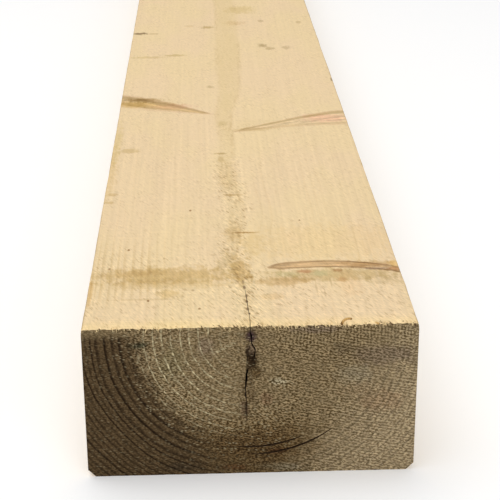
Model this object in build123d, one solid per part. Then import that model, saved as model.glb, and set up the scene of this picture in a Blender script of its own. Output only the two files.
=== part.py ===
from build123d import *

import os
from math import cos, pi, radians, sin, sqrt

# A sawn softwood railway sleeper, in millimetres.
# It lies on its wide face along Y, with the near end at the lowest Y.
# The origin is the middle of the bed face, and +Z is up.

# Timber section and length
WIDTH = 200.0
HEIGHT = 100.0
LENGTH = 2400.0
UPPER_EASING = 0.8  # flat that handling leaves on each upper arris
LOWER_BEVEL = 4.5  # flat sawn off each lower arris

# Heart of the tree, where it comes out on the near end
PITH_ACROSS = 0.0  # from the middle of the width
PITH_BELOW_TOP = 6.5

# Heart check, the drying split that opens through the pith on the near end
CHECK_DROP = 66.0  # down the end face, from the top face
CHECK_RUN = 57.0  # back along the top face, from the end
CHECK_MOUTH = 0.9  # open width where it leaves the top face
CHECK_AT_PITH = 2.2  # open width at the pith, where the soft heart has gone
CHECK_WAIST = 0.9  # open width at the bends below the pith
CHECK_DRIFT = 1.8  # how far it wanders left by the time it closes on the top

# Side fork of the check, a finer split that leaves a sliver of wood beside it
FORK_START = 8.5  # below the top face, inside the opening at the pith
FORK_DROP = 24.0  # length of the fork down the end face
FORK_WIDTH = 0.5
FORK_RUN = 20.0  # back from the end
FORK_SPREAD = 2.3  # how far its foot stands left of the pith
FORK_BEND = (0.6, 0.4)  # where it turns, as shares of its spread and its drop

# Ring shakes, short splits along one growth ring low on the near end
SHAKE_ABOVE_BED = 13.2  # height of the outer shake's ring over the bed face
SHAKE_SPACING = 5.3  # from the outer shake's ring to the inner one's
SHAKE_WIDTH = 0.8
SHAKE_RUN = 7.0  # back from the end
OUTER_SHAKE = (-92.0, -51.0)  # from and to, in degrees round the pith
INNER_SHAKE = (-98.0, -64.0)
SHAKE_SIDES = 8  # straight runs along each side of a shake

# Crosscuts that shape a split on its way in, as shares of its run
SPLIT_STEPS = (0.0, 0.45, 0.75, 0.92, 0.995)

# How far a cutter stands out of the timber, for a clean cut
OVERCUT = 1.0

NEAR_END = -LENGTH / 2
PITH_HEIGHT = HEIGHT - PITH_BELOW_TOP

# Route of the check down the near end: across from the pith, below the top
# face as a share of the drop below the pith, and width as a share of the waist
CHECK_ROUTE = [
    (0.7, 0.08, 0.9),
    (2.2, 0.15, 1.0),
    (2.5, 0.20, 1.2),
    (-1.6, 0.38, 1.1),
    (-3.0, 0.49, 1.2),
    (-3.3, 0.63, 1.2),
    (-2.8, 0.72, 0.9),
    (-2.8, 0.89, 0.4),
    (-2.6, 1.00, 0.0),
]


def crosscut(distance):
    """The upright plane at a distance in from the near end, X across and Y up."""
    place = (0, NEAR_END + distance, 0)
    return Plane(origin=place, x_dir=(1, 0, 0), z_dir=(0, -1, 0))


def timber():
    """The squared baulk: a bevelled section drawn out to the full length."""
    section = Rectangle(WIDTH, HEIGHT, align=(Align.CENTER, Align.MIN))
    section = chamfer(section.vertices().group_by(Axis.Y)[-1], UPPER_EASING)
    section = chamfer(section.vertices().group_by(Axis.Y)[0], LOWER_BEVEL)
    return extrude(crosscut(0) * section, amount=-LENGTH)


def split_outline(stations, shrink, drift):
    """Outline of a split from stations of (across, below the top face, width).

    The depth and the width shrink together, as a split does on its way in.
    """
    left = []
    right = []
    for across, below, width in stations:
        middle = PITH_ACROSS + across * shrink - drift
        height = HEIGHT - below * shrink if below > 0 else HEIGHT - below
        left.append((middle - width * shrink / 2, height))
        if width > 0:
            right.append((middle + width * shrink / 2, height))
    return make_face(Polyline(*left, *reversed(right), close=True))


def split_cutter(stations, run, drift):
    """A split that closes on an elliptical front, a given run in from the end."""
    sections = [crosscut(-OVERCUT) * split_outline(stations, 1.0, 0.0)]
    for share in SPLIT_STEPS:
        outline = split_outline(stations, sqrt(1 - share**2), drift * share)
        sections.append(crosscut(share * run) * outline)
    return loft(sections, ruled=True)


def heart_check():
    """The main split, from over the top face through the pith to its foot."""
    below_pith = CHECK_DROP - PITH_BELOW_TOP
    stations = [(0.0, -OVERCUT, CHECK_MOUTH), (0.0, PITH_BELOW_TOP, CHECK_AT_PITH)]
    for across, share, width in CHECK_ROUTE:
        stations.append((across, PITH_BELOW_TOP + below_pith * share, width * CHECK_WAIST))
    return split_cutter(stations, CHECK_RUN, CHECK_DRIFT)


def check_fork():
    """The finer split left of the check, from the pith down to its own foot."""
    stations = []
    for spread, drop in ((0.0, 0.0), FORK_BEND, (1.0, 1.0)):
        stations.append((-FORK_SPREAD * spread, FORK_START + FORK_DROP * drop, FORK_WIDTH))
    return split_cutter(stations, FORK_RUN, 0.0)


def ring_shake(radius, span):
    """A crescent split along a growth ring: widest midway, closed at its ends."""
    outer = []
    inner = []
    for step in range(SHAKE_SIDES + 1):
        share = step / SHAKE_SIDES
        angle = radians(span[0] + (span[1] - span[0]) * share)
        half_width = SHAKE_WIDTH / 2 * sin(pi * share)
        for side, offset in ((outer, half_width), (inner, -half_width)):
            side.append(
                (
                    PITH_ACROSS + (radius + offset) * cos(angle),
                    PITH_HEIGHT + (radius + offset) * sin(angle),
                )
            )
    outline = make_face(Polyline(*outer, *reversed(inner[1:-1]), close=True))
    return extrude(crosscut(-OVERCUT) * outline, amount=-(SHAKE_RUN + OVERCUT))


def sleeper():
    """The whole sleeper: the baulk, less the splits in its near end."""
    outer_radius = PITH_HEIGHT - SHAKE_ABOVE_BED
    body = timber() - heart_check() - check_fork()
    body -= ring_shake(outer_radius, OUTER_SHAKE)
    body -= ring_shake(outer_radius - SHAKE_SPACING, INNER_SHAKE)
    return body


os.makedirs("parts", exist_ok=True)
export_step(sleeper(), "parts/sleeper.step")
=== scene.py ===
"""The looks of a sawn softwood railway sleeper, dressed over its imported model.

The meshes are in metres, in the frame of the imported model: X runs across the
sleeper, Y along it from the near end, and Z up from its bed face. The figure of
the wood is worked out in millimetres inside the materials, with the distance in
from the near end in place of Y.
"""

import logging
import math
import random
from collections.abc import Callable, Iterable, Iterator
from contextlib import contextmanager
from dataclasses import dataclass, field
from enum import Enum
from typing import ClassVar

import bmesh
import bpy
from mathutils import Euler, Matrix, Vector


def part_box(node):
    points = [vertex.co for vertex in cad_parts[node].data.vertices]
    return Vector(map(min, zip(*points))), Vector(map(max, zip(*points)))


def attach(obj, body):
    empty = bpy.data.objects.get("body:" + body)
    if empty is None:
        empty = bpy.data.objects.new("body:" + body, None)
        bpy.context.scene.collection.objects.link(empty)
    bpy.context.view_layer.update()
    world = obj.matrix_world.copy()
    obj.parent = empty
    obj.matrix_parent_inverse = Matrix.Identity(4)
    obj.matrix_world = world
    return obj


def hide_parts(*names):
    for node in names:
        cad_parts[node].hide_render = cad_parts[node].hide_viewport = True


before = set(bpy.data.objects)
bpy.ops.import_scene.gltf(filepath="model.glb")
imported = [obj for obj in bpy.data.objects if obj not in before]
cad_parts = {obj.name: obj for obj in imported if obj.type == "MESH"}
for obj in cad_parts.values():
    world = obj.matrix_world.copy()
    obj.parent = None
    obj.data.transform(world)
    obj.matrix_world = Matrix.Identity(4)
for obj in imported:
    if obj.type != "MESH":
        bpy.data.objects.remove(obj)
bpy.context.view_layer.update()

MM = 0.001
NODE = "sleeper"
BODY = "root"
TOUCH = 1e-6  # how far apart two places still count as one, in metres
HAIR = 1e-5  # a little more, for points that modelling steps have moved
WHITE = (1.0, 1.0, 1.0, 1.0)

# The standard curve from a seen colour to a linear one: a straight foot, then a power
FOOT_END = 0.04045
FOOT_SLOPE = 12.92
LIFT = 0.055
POWER = 2.4

log = logging.getLogger("sleeper")

Pair = tuple[float, float]
Triple = tuple[float, float, float]
Colour = tuple[float, float, float, float]
Object = bpy.types.Object
Material = bpy.types.Material


def tint(code: str) -> Colour:
    """Turn a colour as it is seen into the linear values that shaders take.

    Args:
        code: Red, green and blue as seen, as six hexadecimal digits.

    Returns:
        Linear red, green and blue, and an alpha of 1.
    """
    seen = (value / 255 for value in bytes.fromhex(code))
    linear = (
        c / FOOT_SLOPE if c <= FOOT_END else ((c + LIFT) / (1 + LIFT)) ** POWER for c in seen
    )
    return (*linear, 1.0)


class Signal:
    """A value, vector or colour on its way through a node tree."""

    def __init__(self, graph: "Graph", socket: bpy.types.NodeSocket) -> None:
        """Keep the output socket and the graph that it belongs to."""
        self.graph = graph
        self.socket = socket

    def __add__(self, other: "Number") -> "Signal":
        """Add a value."""
        return self.graph.calc("ADD", self, other)

    def __sub__(self, other: "Number") -> "Signal":
        """Take a value away."""
        return self.graph.calc("SUBTRACT", self, other)

    def __rsub__(self, other: float) -> "Signal":
        """Take this from a value."""
        return self.graph.calc("SUBTRACT", other, self)

    def __mul__(self, other: "Number") -> "Signal":
        """Multiply by a value."""
        return self.graph.calc("MULTIPLY", self, other)

    def __truediv__(self, other: "Number") -> "Signal":
        """Divide by a value."""
        return self.graph.calc("DIVIDE", self, other)

    def smooth(self, start: float, stop: float) -> "Signal":
        """Rise softly from 0 at start to 1 at stop, or fall where start is the higher.

        Args:
            start: Where the result is 0.
            stop: Where the result is 1.

        Returns:
            The soft step.
        """
        node = self.graph.add("ShaderNodeMapRange", interpolation_type="SMOOTHSTEP")
        for socket, given in zip(node.inputs, (self, start, stop, 0.0, 1.0)):
            self.graph.feed(socket, given)
        return Signal(self.graph, node.outputs[0])

    def size(self) -> "Signal":
        """Leave the sign out."""
        return self.graph.calc("ABSOLUTE", self)

    def between(self, low: float, high: float) -> "Signal":
        """Stretch a value that runs from 0 to 1 so that it runs from low to high."""
        return self * (high - low) + low


Number = float | Signal


class Graph:
    """A node tree being drawn up, with one short call for each kind of step."""

    COLUMNS = 16
    SPACING = (190.0, 260.0)

    def __init__(self, tree: bpy.types.NodeTree) -> None:
        """Start on a tree."""
        self.tree = tree

    def add(self, kind: str, **settings: object) -> bpy.types.Node:
        """Add a node in the next free place of the sheet.

        Args:
            kind: The node's type.
            **settings: Properties to set on it.

        Returns:
            The new node.
        """
        row, column = divmod(len(self.tree.nodes), self.COLUMNS)
        node = self.tree.nodes.new(kind)
        node.location = (column * self.SPACING[0], -row * self.SPACING[1])
        for name, value in settings.items():
            setattr(node, name, value)
        return node

    def feed(self, socket: bpy.types.NodeSocket, value: object) -> None:
        """Link a signal to an input, or set the input to a plain value.

        Args:
            socket: The input.
            value: A signal or a plain value.
        """
        if isinstance(value, Signal):
            self.tree.links.new(value.socket, socket)
        else:
            socket.default_value = value

    def calc(self, operation: str, *values: Number) -> Signal:
        """Do one step of arithmetic.

        Args:
            operation: The Math node's operation.
            *values: What it works on.

        Returns:
            The result.
        """
        node = self.add("ShaderNodeMath", operation=operation)
        for socket, value in zip(node.inputs, values):
            self.feed(socket, value)
        return Signal(self, node.outputs[0])

    def vector_calc(self, operation: str, *values: object) -> Signal:
        """Do one step of vector arithmetic.

        Args:
            operation: The Vector Math node's operation.
            *values: Vectors, or for SCALE a vector and a number.

        Returns:
            The vector or, for DOT_PRODUCT and LENGTH, the number.
        """
        node = self.add("ShaderNodeVectorMath", operation=operation)
        sockets = [s for s in node.inputs if s.enabled]
        for socket, value in zip(sockets, values):
            self.feed(socket, value)
        gives_number = operation in ("DOT_PRODUCT", "LENGTH")
        return Signal(self, node.outputs["Value" if gives_number else "Vector"])

    def combine(self, x: Number, y: Number, z: Number) -> Signal:
        """Make a vector of three values.

        Args:
            x: Its first part.
            y: Its second part.
            z: Its third part.

        Returns:
            The vector.
        """
        node = self.add("ShaderNodeCombineXYZ")
        for socket, value in zip(node.inputs, (x, y, z)):
            self.feed(socket, value)
        return Signal(self, node.outputs[0])

    def split(self, vector: Signal) -> tuple[Signal, Signal, Signal]:
        """Take a vector apart.

        Args:
            vector: The vector.

        Returns:
            Its three parts.
        """
        node = self.add("ShaderNodeSeparateXYZ")
        self.feed(node.inputs[0], vector)
        return tuple(Signal(self, output) for output in node.outputs)

    def curve(self, value: Signal, points: Iterable[Pair]) -> Signal:
        """Read a smooth curve through points that lie between 0 and 1.

        Args:
            value: Where to read it, 0 to 1.
            points: The curve's points, in order.

        Returns:
            The curve's height.
        """
        node = self.add("ShaderNodeFloatCurve")
        line = node.mapping.curves[0]
        given = list(points)
        while len(line.points) < len(given):
            line.points.new(0.5, 0.5)
        for point, place in zip(line.points, given):
            point.location = place
        node.mapping.update()
        self.feed(node.inputs["Value"], value)
        return Signal(self, node.outputs[0])

    def noise(self, place: Signal, size: Triple, detail: float = 2.0) -> Signal:
        """Soft random values, between about 0.2 and 0.8.

        Args:
            place: Where to read them, in millimetres.
            size: The size of their lumps along each axis, in millimetres.
            detail: How many finer layers are added.

        Returns:
            The random value.
        """
        stretch = tuple(1 / s for s in size)
        node = self.add("ShaderNodeTexNoise")
        self.feed(node.inputs["Vector"], self.vector_calc("MULTIPLY", place, stretch))
        node.inputs["Scale"].default_value = 1.0
        node.inputs["Detail"].default_value = detail
        return Signal(self, node.outputs["Fac"])

    def blend(self, amount: Number, low: object, high: object, kind: str = "MIX") -> Signal:
        """Mix two colours.

        Args:
            amount: How much of the second, 0 to 1.
            low: The first colour.
            high: The second colour.
            kind: The way of blending.

        Returns:
            The mixed colour.
        """
        node = self.add("ShaderNodeMix", data_type="RGBA", blend_type=kind)
        self.feed(node.inputs[0], amount)
        self.feed(node.inputs[6], low)
        self.feed(node.inputs[7], high)
        return Signal(self, node.outputs[2])

    def brighten(self, colour: Signal, amount: Number) -> Signal:
        """Multiply a colour by a value that is the same for red, green and blue."""
        return self.vector_calc("SCALE", colour, amount)


class Socket(Enum):
    """The kinds of socket that the effects have."""

    VALUE = "NodeSocketFloat"
    VECTOR = "NodeSocketVector"
    COLOUR = "NodeSocketColor"


class Effect:
    """A shader node group with named inputs and outputs, placed in many materials."""

    def __init__(self, name: str, inputs: dict[str, Socket], outputs: dict[str, Socket]) -> None:
        """Make the group and its sockets.

        Args:
            name: The group's name.
            inputs: Its inputs and their kinds.
            outputs: Its outputs and their kinds.
        """
        self.tree = bpy.data.node_groups.new(name, "ShaderNodeTree")
        for label, kind in inputs.items():
            self.tree.interface.new_socket(label, in_out="INPUT", socket_type=kind.value)
        for label, kind in outputs.items():
            self.tree.interface.new_socket(label, in_out="OUTPUT", socket_type=kind.value)
        self.graph = Graph(self.tree)
        self._inlet = self.graph.add("NodeGroupInput")
        self._outlet = self.graph.add("NodeGroupOutput")

    def inlet(self, label: str) -> Signal:
        """What comes in by a named input."""
        return Signal(self.graph, self._inlet.outputs[label])

    def give(self, label: str, value: Signal) -> None:
        """Send a signal out by a named output."""
        self.graph.feed(self._outlet.inputs[label], value)

    def place(self, graph: Graph, **values: object) -> dict[str, Signal]:
        """Put the group into a tree.

        Args:
            graph: The tree.
            **values: What each input gets, by its name in lower case.

        Returns:
            The outputs, by their names in lower case.
        """
        node = graph.add("ShaderNodeGroup", node_tree=self.tree)
        for socket in node.inputs:
            key = socket.name.lower().replace(" ", "_")
            if key in values:
                graph.feed(socket, values[key])
        return {o.name.lower().replace(" ", "_"): Signal(graph, o) for o in node.outputs}


@dataclass(frozen=True)
class HeartLine:
    """The line of the pith through the sleeper, which wanders as the tree grew."""

    # distance in from the near end, and place across the width, in mm
    across: tuple[Pair, ...] = (
        (0, 0.0), (70, -1.8), (130, -8.5), (190, -2.5), (230, -5.0), (305, -7.5),
        (340, -6.0), (416, -7.5), (500, -1.5), (632, 1.0), (765, 2.4), (868, 3.0),
        (1100, -5.0), (1400, 6.0), (1700, 1.0), (2050, 9.0), (2400, 3.0),
    )
    # distance in from the near end, and height over the bed, in mm
    height: tuple[Pair, ...] = (
        (0, 93.5), (150, 96.5), (260, 99.3), (600, 99.6), (900, 99.2), (1300, 96.0),
        (1700, 98.0), (2100, 94.0), (2400, 91.0),
    )
    length: float = 2400.0  # length of the sleeper, in mm
    swing: float = 40.0  # widest swing that the curves can hold, in mm
    top: float = 100.0  # height of the top face, in mm
    reach: float = 55.0  # how far out the rings still follow the pith's wandering, in mm
    close: float = 6.0  # how near the pith they follow it wholly, in mm
    least: float = 0.15  # how much of the wandering the outermost rings follow, 0 to 1

    def read(self, graph: Graph, along: Signal, points: tuple, middle: float) -> Signal:
        """Draw one of the two curves.

        Args:
            graph: The tree to draw in.
            along: Distance in from the near end, in mm.
            points: The curve's points.
            middle: What the curve's mid height stands for.

        Returns:
            The curve's value, in mm.
        """
        scaled = [(a / self.length, 0.5 + (v - middle) / self.swing) for a, v in points]
        height = graph.curve(along / self.length, scaled)
        return (height - 0.5) * self.swing + middle

    def effect(self) -> Effect:
        """Draw up the group that gives a point's place in the tree.

        Returns:
            The effect.
        """
        made = Effect(
            "heart_line",
            {"Place": Socket.VECTOR},
            {"Tree": Socket.VECTOR, "Radius": Socket.VALUE},
        )
        graph = made.graph
        across, along, up = graph.split(made.inlet("Place"))
        wander = self.read(graph, along, self.across, 0.0)
        follow = (across - wander).size().smooth(self.reach, self.close).between(self.least, 1.0)
        out = across - wander * follow
        rise = up - self.read(graph, along, self.height, self.top)
        made.give("Tree", graph.combine(out, along, rise))
        made.give("Radius", graph.calc("SQRT", out * out + rise * rise))
        return made


@dataclass(frozen=True)
class GrowthRings:
    """The yearly rings round the pith: wide and pale, then narrow and dark."""

    first_width: float = 6.4  # width of the first rings, in mm
    narrowing: float = 0.0003  # how fast rings narrow outwards, in rings for each square mm
    crowd_start: float = 92.0  # how far out they start to crowd, in mm
    crowding: float = 0.09  # how many more there are from there, for each mm
    wander: float = 3.0  # how far a ring strays from a circle, in mm
    wander_size: Triple = (46, 420, 46)  # size of that straying, in mm
    ripple: float = 1.1  # how far its finer ripple strays, in mm
    ripple_size: Triple = (7, 60, 7)  # size of that ripple, in mm
    seasons: float = 4.0  # how far wet and dry years shift a ring, in mm
    # distances from the pith at which all straying starts and is full, in mm
    free: Pair = (2.0, 26.0)
    late_start: float = 0.40  # share of a ring at which its hard wood starts
    late_spread: float = 0.3  # how much later that is in some years
    late_slope: float = 2.6  # how fast the hard wood darkens from there
    # shares of a ring between which the hard wood ends
    late_end: Pair = (1.0, 0.955)
    # shares between which the dark of a sapwood ring starts, and ends
    dark: tuple[Pair, ...] = ((0.44, 0.76), (1.0, 0.90))
    # shares between which the pale line between rings starts, and ends
    line: tuple[Pair, ...] = ((0.0, 0.04), (0.24, 0.08))

    def effect(self) -> Effect:
        """Draw up the group that turns a radius into rings.

        Returns:
            The effect.
        """
        made = Effect(
            "growth_rings",
            {"Tree": Socket.VECTOR, "Radius": Socket.VALUE, "Swirl": Socket.VALUE},
            {
                "Late": Socket.VALUE, "Dark": Socket.VALUE, "Line": Socket.VALUE,
                "Year": Socket.VALUE,
            },
        )
        graph = made.graph
        tree, radius = made.inlet("Tree"), made.inlet("Radius")
        stray = (graph.noise(tree, self.wander_size, 1.0) - 0.5) * self.wander
        fine = (graph.noise(tree, self.ripple_size, 1.0) - 0.5) * self.ripple
        season = graph.noise(graph.combine(radius, 0.0, 0.0), (12, 1, 1), 1.0) - 0.5
        bent = (stray + fine + season * self.seasons) * radius.smooth(*self.free)
        bent = radius + bent + made.inlet("Swirl")
        crowd = graph.calc("MAXIMUM", bent - self.crowd_start, 0.0)
        age = bent / self.first_width + bent * bent * self.narrowing
        age = age + crowd * self.crowding
        share = graph.calc("FRACT", age)
        year = graph.add("ShaderNodeTexWhiteNoise", noise_dimensions="1D")
        graph.feed(year.inputs["W"], graph.calc("FLOOR", age))
        year = Signal(graph, year.outputs["Value"])
        slow = graph.calc("MULTIPLY_ADD", year, self.late_spread, self.late_start)
        late = ((share - slow) * self.late_slope).smooth(0.0, 1.0)
        made.give("Late", late * share.smooth(*self.late_end))
        for label, (rise, fall) in (("Dark", self.dark), ("Line", self.line)):
            made.give(label, share.smooth(*rise) * share.smooth(*fall))
        made.give("Year", year)
        return made


@dataclass(frozen=True)
class Knot:
    """One branch, from the pith outwards."""

    foot: float  # distance in from the near end at which it leaves the pith, in mm
    azimuth: float  # its direction round the pith, in degrees, from +X towards +Z
    rake: float  # how far it leans along the tree, for each mm out
    bend: float  # how that lean changes, for each square mm out
    growth: float  # how its radius grows, for each mm past three quarters of its start
    thickness: float  # its largest radius, in mm
    heart: Colour  # colour of its wood
    rim: Colour  # colour of its outline
    far_rim: float  # how strong the outline is on its far side, 0 to 1
    near_rim: float  # how strong the outline is on its near side, 0 to 1
    rim_width: float  # width of the outline, in mm
    start: float  # how far out it starts to show its own colour, in mm
    strength: float = 0.9  # how much of the wood under it it hides, 0 to 1


class KnotEffect:
    """Draws knots: cones that grow out of the pith, each with its rim."""

    CHAIN = {"Colour": Socket.COLOUR, "Cover": Socket.VALUE, "Swirl": Socket.VALUE}
    FADE = tint("be8c5f")  # what the soft outline of a branch fades to
    STRAND_SIZE = (22.0, 2.7, 2.7)  # of the strands along a branch, in mm
    SHARP_PART = 0.75  # share of its start over which a branch is still a point
    RAGGED_RIM = 2.4  # how far its outline strays, in mm
    SWIRL_FALL = 0.13  # how fast the swirl of the rings round it dies away, for each mm
    SWIRL_START = (8.0, 40.0)  # distances out between which that swirl starts, in mm
    SWIRL_SIZE = 3.0  # how far the rings swirl at the branch, in mm

    def __init__(self) -> None:
        """Draw up the group that lays one knot over those before it."""
        values = (
            "Foot", "Azimuth", "Rake", "Bend", "Growth", "Thickness", "Far Rim", "Near Rim",
            "Rim Width", "Start", "Strength", "Ragged",
        )
        inputs = {"Tree": Socket.VECTOR, "Heart": Socket.COLOUR, "Rim": Socket.COLOUR}
        inputs |= {name: Socket.VALUE for name in values}
        made = Effect("branch_knot", inputs | self.CHAIN, self.CHAIN)
        self.effect = made
        graph, inlet = made.graph, made.inlet
        across, along, up = graph.split(inlet("Tree"))
        angle = graph.calc("RADIANS", inlet("Azimuth"))
        cosine, sine = graph.calc("COSINE", angle), graph.calc("SINE", angle)
        out = across * cosine + up * sine
        aside = up * cosine - across * sine
        off = along - inlet("Foot") - out * inlet("Rake") - out * out * inlet("Bend")
        grown = graph.calc("MAXIMUM", out - inlet("Start") * self.SHARP_PART, 0.0)
        radius = grown * inlet("Growth")
        radius = graph.calc("MINIMUM", radius, inlet("Thickness"))
        shown = (out - inlet("Start")).smooth(-6.0, 8.0)
        width = inlet("Rim Width") * (radius / inlet("Thickness")).between(0.25, 1.0)
        self.draw(made, (out, off, aside), radius, width, shown)

    @classmethod
    def draw(
        cls, made: Effect, place: tuple[Signal, Signal, Signal], radius: Signal,
        width: Signal, shown: Signal,
    ) -> None:
        """Draw a branch into a group and lay it over those before it.

        Args:
            made: The group, with the inputs and outputs of the chain.
            place: How far the point is out from the pith along the branch, past the
                branch's middle along the tree, and beside it, in mm.
            radius: The branch's radius there, in mm.
            width: How wide its outline is there, in mm.
            shown: How much of the branch's own colour shows, 0 to 1.
        """
        graph, inlet = made.graph, made.inlet
        out, off, aside = place
        away = graph.calc("SQRT", off * off + aside * aside)
        ragged = inlet("Ragged")
        strands = graph.noise(graph.combine(out, off, aside), cls.STRAND_SIZE, 2.0) - 0.5
        gap = away - radius + ragged * cls.RAGGED_RIM + strands * width
        body = gap.smooth(0.6, -0.6)
        side = off.smooth(-1.0, 1.0)
        strength = inlet("Near Rim") * (1.0 - side) + inlet("Far Rim") * side
        rim = (gap.size() / width).smooth(1.0, 0.2)
        rim = rim * (strength + strands * 1.8 * strength)
        heart = graph.brighten(inlet("Heart"), strands * 1.5 + ragged * 0.4 + 1.0)
        own = graph.blend(rim, heart, inlet("Rim"))
        mask = graph.calc("MAXIMUM", body, rim) * shown * inlet("Strength")
        near = graph.calc("EXPONENT", graph.calc("MAXIMUM", gap, 0.0) * -cls.SWIRL_FALL)
        swirl = near * out.smooth(*cls.SWIRL_START) * cls.SWIRL_SIZE
        made.give("Colour", graph.blend(mask, inlet("Colour"), own))
        made.give("Cover", graph.calc("MAXIMUM", inlet("Cover"), mask))
        made.give("Swirl", graph.calc("MAXIMUM", inlet("Swirl"), swirl))

    def lay(self, graph: Graph, tree: Signal, ragged: Signal, knots: Iterable[Knot]) -> dict:
        """Lay all knots, each over the one before.

        Args:
            graph: The material's tree.
            tree: The point's place in the tree.
            ragged: A soft random value that roughens their outlines.
            knots: The knots.

        Returns:
            The colour, cover and swirl of all of them together.
        """
        chain = {"colour": self.FADE, "cover": 0.0, "swirl": 0.0}
        for knot in knots:
            chain = self.effect.place(graph, tree=tree, ragged=ragged, **vars(knot), **chain)
        return chain


@dataclass(frozen=True)
class Whorls:
    """The rings of branches that a conifer grows once a year."""

    first: float = 82.0  # distance in from the near end of the first, in mm
    pitch: float = 345.0  # from each to the next, in mm
    branches: int = 4  # how many branches each has
    rake: float = 0.42  # how far the branches lean along the tree, for each mm out
    thin: float = 3.5  # radius of the thinnest branches, in mm
    spread: float = 11.0  # how much thicker the thickest are, in mm
    growth: float = 0.16  # how their radius grows, for each mm out
    scatter: float = 20.0  # how far a branch may stand from its whorl along the tree, in mm
    lost: float = 0.2  # share of the branches that fell early, so that they don't show
    # distance in from the near end up to which the top face has knots of its own in their place,
    # in mm
    bare_top: float = 960.0
    bare_edge: float = 20.0  # how far before that the whorls start to show, in mm
    heart: Colour = tint("c49262")  # colour of their wood
    rim: Colour = tint("704e32")  # colour of their outlines
    TURN_KEY: ClassVar[float] = 7.0  # keys the roll that turns a whole whorl

    def effect(self) -> Effect:
        """Draw up the group that lays them over the knots before them.

        Returns:
            The effect.
        """
        inputs = {"Tree": Socket.VECTOR, "Ragged": Socket.VALUE, "Heart": Socket.COLOUR}
        inputs |= {"Rim": Socket.COLOUR, "Rim Width": Socket.VALUE, "Far Rim": Socket.VALUE}
        inputs |= {"Near Rim": Socket.VALUE, "Strength": Socket.VALUE}
        made = Effect("branch_whorls", inputs | KnotEffect.CHAIN, KnotEffect.CHAIN)
        graph, inlet = made.graph, made.inlet
        across, along, up = graph.split(inlet("Tree"))
        radius = graph.calc("SQRT", across * across + up * up)
        number = graph.calc("ROUND", (along - self.first) / self.pitch)
        turned = self._dice(graph, number, self.TURN_KEY)[0]
        turns = graph.calc("ARCTAN2", up, across) / math.tau * self.branches + turned
        branch = graph.calc("ROUND", turns)
        local = (turns - branch) * (math.tau / self.branches)
        branch = graph.calc("FLOORED_MODULO", branch, float(self.branches))
        size, shift, chance = self._dice(graph, number, branch)
        out = radius * graph.calc("COSINE", local)
        aside = radius * graph.calc("SINE", local)
        foot = number * self.pitch + (self.first - self.scatter) + shift * (self.scatter * 2)
        off = along - foot - out * self.rake
        most = size * size * self.spread + self.thin
        girth = graph.calc("MINIMUM", out * self.growth, most)
        past = along.smooth(self.bare_top - self.bare_edge, self.bare_top)
        hidden = graph.calc("MAXIMUM", up.smooth(-3.0, -6.0), past)
        shown = out.smooth(4.0, 16.0) * hidden * chance.smooth(self.lost, self.lost + 0.05)
        KnotEffect.draw(made, (out, off, aside), girth, inlet("Rim Width"), shown)
        return made

    def _dice(self, graph: Graph, first: Number, second: Number) -> tuple[Signal, ...]:
        """Roll three random values that hold for a pair of whole numbers.

        Args:
            graph: The group's tree.
            first: The first number.
            second: The second number.

        Returns:
            The three values, 0 to 1.
        """
        node = graph.add("ShaderNodeTexWhiteNoise", noise_dimensions="2D")
        graph.feed(node.inputs["Vector"], graph.combine(first, second, 0.0))
        return graph.split(Signal(graph, node.outputs["Color"]))

    def lay(self, effect: Effect, graph: Graph, tree: Signal, ragged: Signal, chain: dict) -> dict:
        """Place the group in a material, over the knots before it.

        Args:
            effect: The group.
            graph: The material's tree.
            tree: The point's place in the tree.
            ragged: A soft random value that roughens the outlines.
            chain: The knots before it.

        Returns:
            The colour, cover and swirl of all of them together.
        """
        return effect.place(
            graph, tree=tree, ragged=ragged, heart=self.heart, rim=self.rim, rim_width=1.5,
            far_rim=0.75, near_rim=0.5, strength=0.85, **chain,
        )


@dataclass(frozen=True)
class Stain:
    """A soft-edged patch in which the wood takes another colour."""

    # middle of the patch: across, in from the near end, and up, in mm
    centre: Triple
    reach: Triple  # half its size along each of these, in mm
    colour: Colour  # the colour that the wood turns there
    strength: float = 0.8  # how far it turns, 0 to 1


class StainEffect:
    """Draws stains over the wood, without hiding its grain."""

    def __init__(self) -> None:
        """Draw up the group that lays one stain."""
        inputs = {
            "Place": Socket.VECTOR, "Ragged": Socket.VALUE, "Centre": Socket.VECTOR,
            "Shrink": Socket.VECTOR, "Dye": Socket.COLOUR, "Strength": Socket.VALUE,
            "Colour": Socket.COLOUR,
        }
        self.effect = Effect("stain", inputs, {"Colour": Socket.COLOUR})
        graph = self.effect.graph
        inlet = self.effect.inlet
        away = graph.vector_calc("SUBTRACT", inlet("Place"), inlet("Centre"))
        away = graph.vector_calc("MULTIPLY", away, inlet("Shrink"))
        rim = graph.vector_calc("LENGTH", away) + inlet("Ragged") * 1.7
        mask = rim.smooth(1.3, 0.4) * inlet("Strength")
        dyed = graph.blend(mask, inlet("Colour"), inlet("Dye"), "MULTIPLY")
        self.effect.give("Colour", dyed)

    def lay(self, sheet: "Sheet", ragged: Signal, stains: Iterable[Stain]) -> None:
        """Lay all stains over a sheet's wood.

        Args:
            sheet: The material being drawn up.
            ragged: A soft random value that roughens their outlines.
            stains: The stains.
        """
        for stain in stains:
            dye = tuple(s / g for s, g in zip(stain.colour[:3], sheet.ground[:3])) + (1.0,)
            sheet.wood = self.effect.place(
                sheet.graph, place=sheet.place, ragged=ragged, centre=stain.centre,
                shrink=tuple(1 / r for r in stain.reach), dye=dye,
                strength=stain.strength, colour=sheet.wood,
            )["colour"]


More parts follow.
